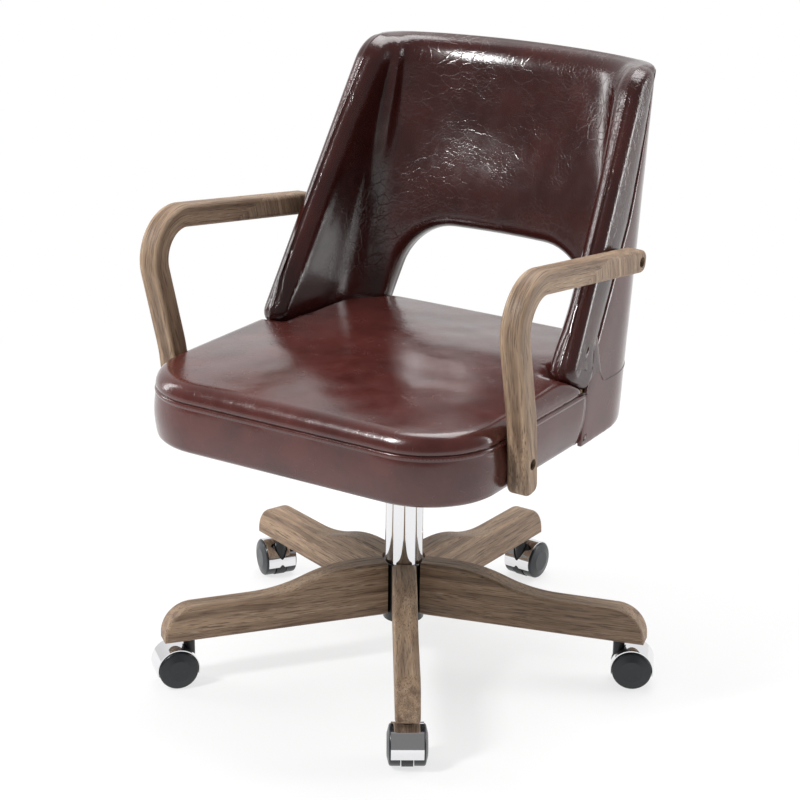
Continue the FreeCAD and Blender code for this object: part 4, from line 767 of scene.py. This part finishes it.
def crown_height(x, y):
    """Height of the cushion's top before its edge is rolled."""
    side = 8.0 * (x / SEAT_HALF) ** 2
    front = 9.0 * np.clip((SEAT_CROWN_AT - y) / (SEAT_CROWN_AT - SEAT_FRONT), 0, None) ** 2
    back = 12.0 * np.clip((y - SEAT_CROWN_AT) / (SEAT_REAR - SEAT_CROWN_AT), 0, None) ** 2
    return SEAT_CROWN - np.sqrt(side ** 2 + (front + back) ** 2)


def pressed(points):
    """The cushion gives way under the forward corners of the padded sides."""
    x, y, z = points[:, 0], points[:, 1], points[:, 2]
    under = np.where(y < 0.0, 424.0 + (-y) * 3.0, 424.0 - 28.0 * np.clip(y / 46.0, 0, 1)) - 0.8
    beside = ease(np.abs(x), 190.0, 199.0)
    lowered = np.minimum(z, under)
    result = points.copy()
    near = (y > -8.0) & (y < 60.0)
    result[:, 2] = np.where(near, z + (lowered - z) * beside, z)
    return result


def seat_drift(flat):
    points = np.column_stack([flat, np.zeros(len(flat))])
    return 0.9 * ripple(points, 95.0, 1.0) + 0.45 * ripple(points, 38.0, 6.0)


def make_seat():
    top = pillow_outline()
    inward = inward_normals(top)
    count = len(top)
    behind = np.zeros(count, bool)
    behind[FRONT_COUNT:count - FRONT_COUNT + 1] = True
    skin = Skin()
    rings = []
    steps = 10
    rim = crown_height(*(top + inward * SEAT_ROUND).T)
    drop = rim - (SEAT_SEAM + 0.6)
    for step in range(steps + 1):
        angle = math.pi / 2 * step / steps
        flat = top + inward * SEAT_ROUND * (1 - math.sin(angle))
        rings.append(pressed(np.column_stack([flat, rim - drop * (1 - math.cos(angle))])))
    gather = 0.35 * ripple(np.column_stack([top, np.zeros(count)]), 11.0, 2.0)
    for reach, level in ((0.5, 402.2), (2.2, 401.6), (2.2, 400.9), (0.2, 400.5), (-0.7, 399.6),
                         (-0.8, 397.6), (-0.7, 395.6), (0.1, 394.8)):
        flat = boxing_outline(level, PAD_THICK + 0.6)
        flat = np.where(behind[:, None], top, flat)
        flat = flat + inward_normals(flat) * reach
        height = np.where(behind, np.maximum(level, 397.0), level + gather)
        rings.append(pressed(np.column_stack([flat, height])))
    for share in np.linspace(0.0, 1.0, 9):
        level = 394.0 - share * 50.0
        flat = boxing_outline(level, SHELL_INNER)
        swell = -2.6 * math.sin(math.pi * share) + 0.5 * ripple(
            np.column_stack([flat, np.full(count, level)]), 60.0, 4.0)
        swell = np.where(behind, 0.3, swell)
        rings.append(np.column_stack([flat + inward_normals(flat) * swell[:, None], np.full(count, level)]))
    flat = boxing_outline(SEAT_BOTTOM + 4.0, SHELL_INNER)
    under = inward_normals(flat)
    for angle in (30, 60, 90):
        reach = 8.0 * (1 - math.cos(math.radians(angle)))
        level = 344.0 - 8.0 * math.sin(math.radians(angle))
        rings.append(np.column_stack([flat + under * reach, np.full(count, level)]))
    for reach, level in ((15.0, 336.0), (21.0, 336.1), (22.0, 336.6), (22.0, 337.8), (5.6, 337.8),
                         (5.6, FRAME_TOP)):
        rings.append(np.column_stack([flat + under * reach, np.full(count, level)]))
    made = skin.rings(rings)
    skin.fill([made[0]], [top + inward * SEAT_ROUND], lambda points: pressed(np.column_stack(
        [points, crown_height(*points.T) + seat_drift(points) * ease(
            np.abs(points[:, 0]), 240.0, 180.0)])), 7.0)
    skin.fill([made[-1]], [flat + under * 5.6],
              lambda points: np.column_stack([points, np.full(len(points), FRAME_TOP)]), 30.0)
    piece = skin.make("seat_cushion_leather", SEAT_LEATHER)
    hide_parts("seat_cushion")


# Rows of small things along a path

def make_row_tree():
    """Places a rounded peg of a given length and thickness at even steps along a path."""
    tree = bpy.data.node_groups.new("row_along_path", "GeometryNodeTree")
    for label, kind in (("Path", "NodeSocketGeometry"), ("Spacing", FLOAT), ("Length", FLOAT),
                        ("Thickness", FLOAT), ("Finish", "NodeSocketMaterial")):
        tree.interface.new_socket(label, in_out="INPUT", socket_type=kind)
    tree.interface.new_socket("Row", in_out="OUTPUT", socket_type="NodeSocketGeometry")
    given = tree.nodes.new("NodeGroupInput").outputs
    curve = node(tree, "GeometryNodeMeshToCurve", {"Mesh": given["Path"]})
    steps = node(tree, "GeometryNodeResampleCurve", {"Curve": curve.outputs[0],
                                                     "Length": given["Spacing"]}, mode="LENGTH")
    facing = node(tree, "FunctionNodeAlignRotationToVector",
                  {"Vector": node(tree, "GeometryNodeInputTangent").outputs[0]}, axis="X")
    peg = node(tree, "GeometryNodeMeshIcoSphere", {"Radius": 0.5, "Subdivisions": 2})
    size = node(tree, "ShaderNodeCombineXYZ", {0: given["Length"], 1: given["Thickness"],
                                               2: given["Thickness"]})
    rows = node(tree, "GeometryNodeInstanceOnPoints", {
        "Points": steps.outputs[0], "Instance": peg.outputs[0], "Rotation": facing.outputs[0],
        "Scale": size.outputs[0]})
    solid = node(tree, "GeometryNodeRealizeInstances", {"Geometry": rows.outputs[0]})
    finish = node(tree, "GeometryNodeSetMaterial", {"Geometry": solid.outputs[0],
                                                    "Material": given["Finish"]})
    tree.links.new(finish.outputs[0], tree.nodes.new("NodeGroupOutput").inputs["Row"])
    return tree


ROW_TREE = make_row_tree()


def row(name, points, spacing, length, thickness, finish, body="seat", closed=False):
    """Piece made of pegs along a path of points in millimetres."""
    mesh = bpy.data.meshes.new(name + "_path")
    edges = [(index, index + 1) for index in range(len(points) - 1)]
    if closed:
        edges.append((len(points) - 1, 0))
    mesh.from_pydata([tuple(c * MM for c in point) for point in points], edges, [])
    piece = bpy.data.objects.new(name, mesh)
    bpy.context.scene.collection.objects.link(piece)
    modifier = piece.modifiers.new("row", "NODES")
    modifier.node_group = ROW_TREE
    values = {"Spacing": spacing * MM, "Length": length * MM, "Thickness": thickness * MM,
              "Finish": finish}
    for item in ROW_TREE.interface.items_tree:
        if item.item_type == "SOCKET" and item.name in values:
            modifier[item.identifier] = values[item.name]
    evaluated = piece.evaluated_get(bpy.context.evaluated_depsgraph_get())
    made = bpy.data.meshes.new_from_object(evaluated)
    piece.modifiers.remove(modifier)
    piece.data = made
    bpy.data.meshes.remove(mesh)
    made.polygons.foreach_set("use_smooth", [True] * len(made.polygons))
    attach(piece, body)
    return piece


def make_seat_stitches():
    """One row of stitches along the felled band under the cushion's seam."""
    level = 397.7
    flat = boxing_outline(level, PAD_THICK)
    flat = flat + inward_normals(flat) * -0.75
    run = np.vstack([flat[-FRONT_COUNT + 2:], flat[:FRONT_COUNT - 1]])
    points = np.column_stack([run, np.full(len(run), level)])
    piece = row("seat_seam_stitches", points, 4.6, 3.5, 0.9, THREAD)


def make_staples():
    """Staples that hold the dust cover to the seat board."""
    flat = boxing_outline(SEAT_BOTTOM + 4.0, SHELL_INNER)
    flat = flat + inward_normals(flat) * 27.0
    points = np.column_stack([flat, np.full(len(flat), 336.7)])
    piece = row("dust_cover_staples", points, 32.0, 9.0, 0.9, STEEL, closed=True)


# Stage

def emitting(name, level):
    """Pale stage finish that the camera and mirrors see as a set white, and that keeps shadows."""
    made = bpy.data.materials.new(name)
    made.use_nodes = True
    tree = made.node_tree
    shader = tree.nodes["Principled BSDF"]
    shader.inputs["Base Color"].default_value = (0.92, 0.92, 0.92, 1.0)
    shader.inputs["Roughness"].default_value = 0.95
    shader.inputs["Specular IOR Level"].default_value = 0.0
    path = node(tree, "ShaderNodeLightPath").outputs
    seen = sums(tree, "MAXIMUM", path["Is Camera Ray"],
                sums(tree, "MAXIMUM", path["Is Glossy Ray"], path["Is Transmission Ray"]))
    glow = node(tree, "ShaderNodeEmission", {"Color": (1.0, 1.0, 1.0, 1.0), "Strength": 1.0})
    place = node(tree, "ShaderNodeTexCoord").outputs["Object"]
    away = node(tree, "ShaderNodeVectorMath", {0: place}, operation="LENGTH").outputs["Value"]
    share = sums(tree, "MULTIPLY", seen, spread(tree, away, 0.4, 1.5, level, 1.0))
    blend = node(tree, "ShaderNodeMixShader", {0: share, 1: shader.outputs[0], 2: glow.outputs[0]})
    tree.links.new(blend.outputs[0], tree.nodes["Material Output"].inputs[0])
    return made


def make_stage():
    half = 9.0
    mesh = bpy.data.meshes.new("floor")
    under = cad_box[0][2]
    mesh.from_pydata([(-half, -half, under), (half, -half, under), (half, half, under),
                      (-half, half, under)], [], [(0, 1, 2, 3)])
    floor = bpy.data.objects.new("floor", mesh)
    bpy.context.scene.collection.objects.link(floor)
    mesh.materials.append(emitting("pale_floor", 0.72))


def make_world():
    """White to the camera. As light it is bright behind the chair and dim on the camera's side."""
    world = bpy.data.worlds.new("studio")
    bpy.context.scene.world = world
    world.use_nodes = True
    tree = world.node_tree
    direction = node(tree, "ShaderNodeTexCoord").outputs["Generated"]
    parts = node(tree, "ShaderNodeSeparateXYZ", {0: direction}).outputs
    behind = sums(tree, "MULTIPLY_ADD", parts[1], 0.85, sums(tree, "MULTIPLY", parts[0], -0.4))
    glow = spread(tree, behind, -0.15, 0.75, 0.22, 0.9)
    path = node(tree, "ShaderNodeLightPath").outputs
    level = node(tree, "ShaderNodeMix", {0: path["Is Camera Ray"], 2: glow, 3: 1.0}).outputs[0]
    tree.links.new(level, tree.nodes["Background"].inputs["Strength"])
    tree.nodes["Background"].inputs["Color"].default_value = (1.0, 1.0, 1.0, 1.0)


def lamp(name, place, target, size, power):
    """Soft box at a place in metres, turned to a target."""
    data = bpy.data.lights.new(name, "AREA")
    data.shape = "RECTANGLE"
    data.size, data.size_y = size
    data.energy = power
    made = bpy.data.objects.new(name, data)
    made.location = place
    made.rotation_euler = (Vector(target) - Vector(place)).to_track_quat("-Z", "Y").to_euler()
    bpy.context.scene.collection.objects.link(made)


def make_lamps():
    middle = (0.0, 0.0, 0.45)
    lamp("key_softbox", (-1.05, -2.3, 2.6), middle, (0.42, 0.9), 84.0)
    lamp("right_softbox", (2.3, 1.7, 1.0), middle, (0.7, 1.8), 30.0)
    lamp("left_softbox", (-2.6, -0.6, 1.3), middle, (0.4, 1.8), 18.0)
    lamp("top_softbox", (0.0, 0.9, 2.9), middle, (2.0, 1.4), 48.0)


def make_camera():
    """The photograph's viewpoint."""
    distance, across, height = 2.85466, -0.00755, 0.35459
    pitch, roll, yaw = (math.radians(angle) for angle in (19.669, 0.658, 32.3))
    picture, focal = 800.0, 2222.0
    forward = Vector((0, math.cos(pitch), -math.sin(pitch)))
    right = Vector((1, 0, 0))
    up = right.cross(forward)
    place = Vector((across, 0, height)) - distance * forward
    rolled_right = right * math.cos(roll) + up * math.sin(roll)
    rolled_up = up * math.cos(roll) - right * math.sin(roll)
    turn = Matrix.Rotation(yaw, 3, "Z")
    axes = Matrix((turn @ rolled_right, turn @ rolled_up, turn @ -forward)).transposed().to_4x4()
    axes.translation = turn @ place
    data = bpy.data.cameras.new("camera")
    data.sensor_width = 36.0
    data.lens = focal / picture * data.sensor_width
    camera = bpy.data.objects.new("camera", data)
    camera.matrix_world = axes
    bpy.context.scene.collection.objects.link(camera)
    bpy.context.scene.camera = camera


make_camera()
make_stage()
make_world()
make_lamps()
dress_solids()
make_back_pad()
make_back_panel()
make_seat()
make_seat_stitches()
make_staples()

bpy.context.scene.view_settings.view_transform = "Standard"
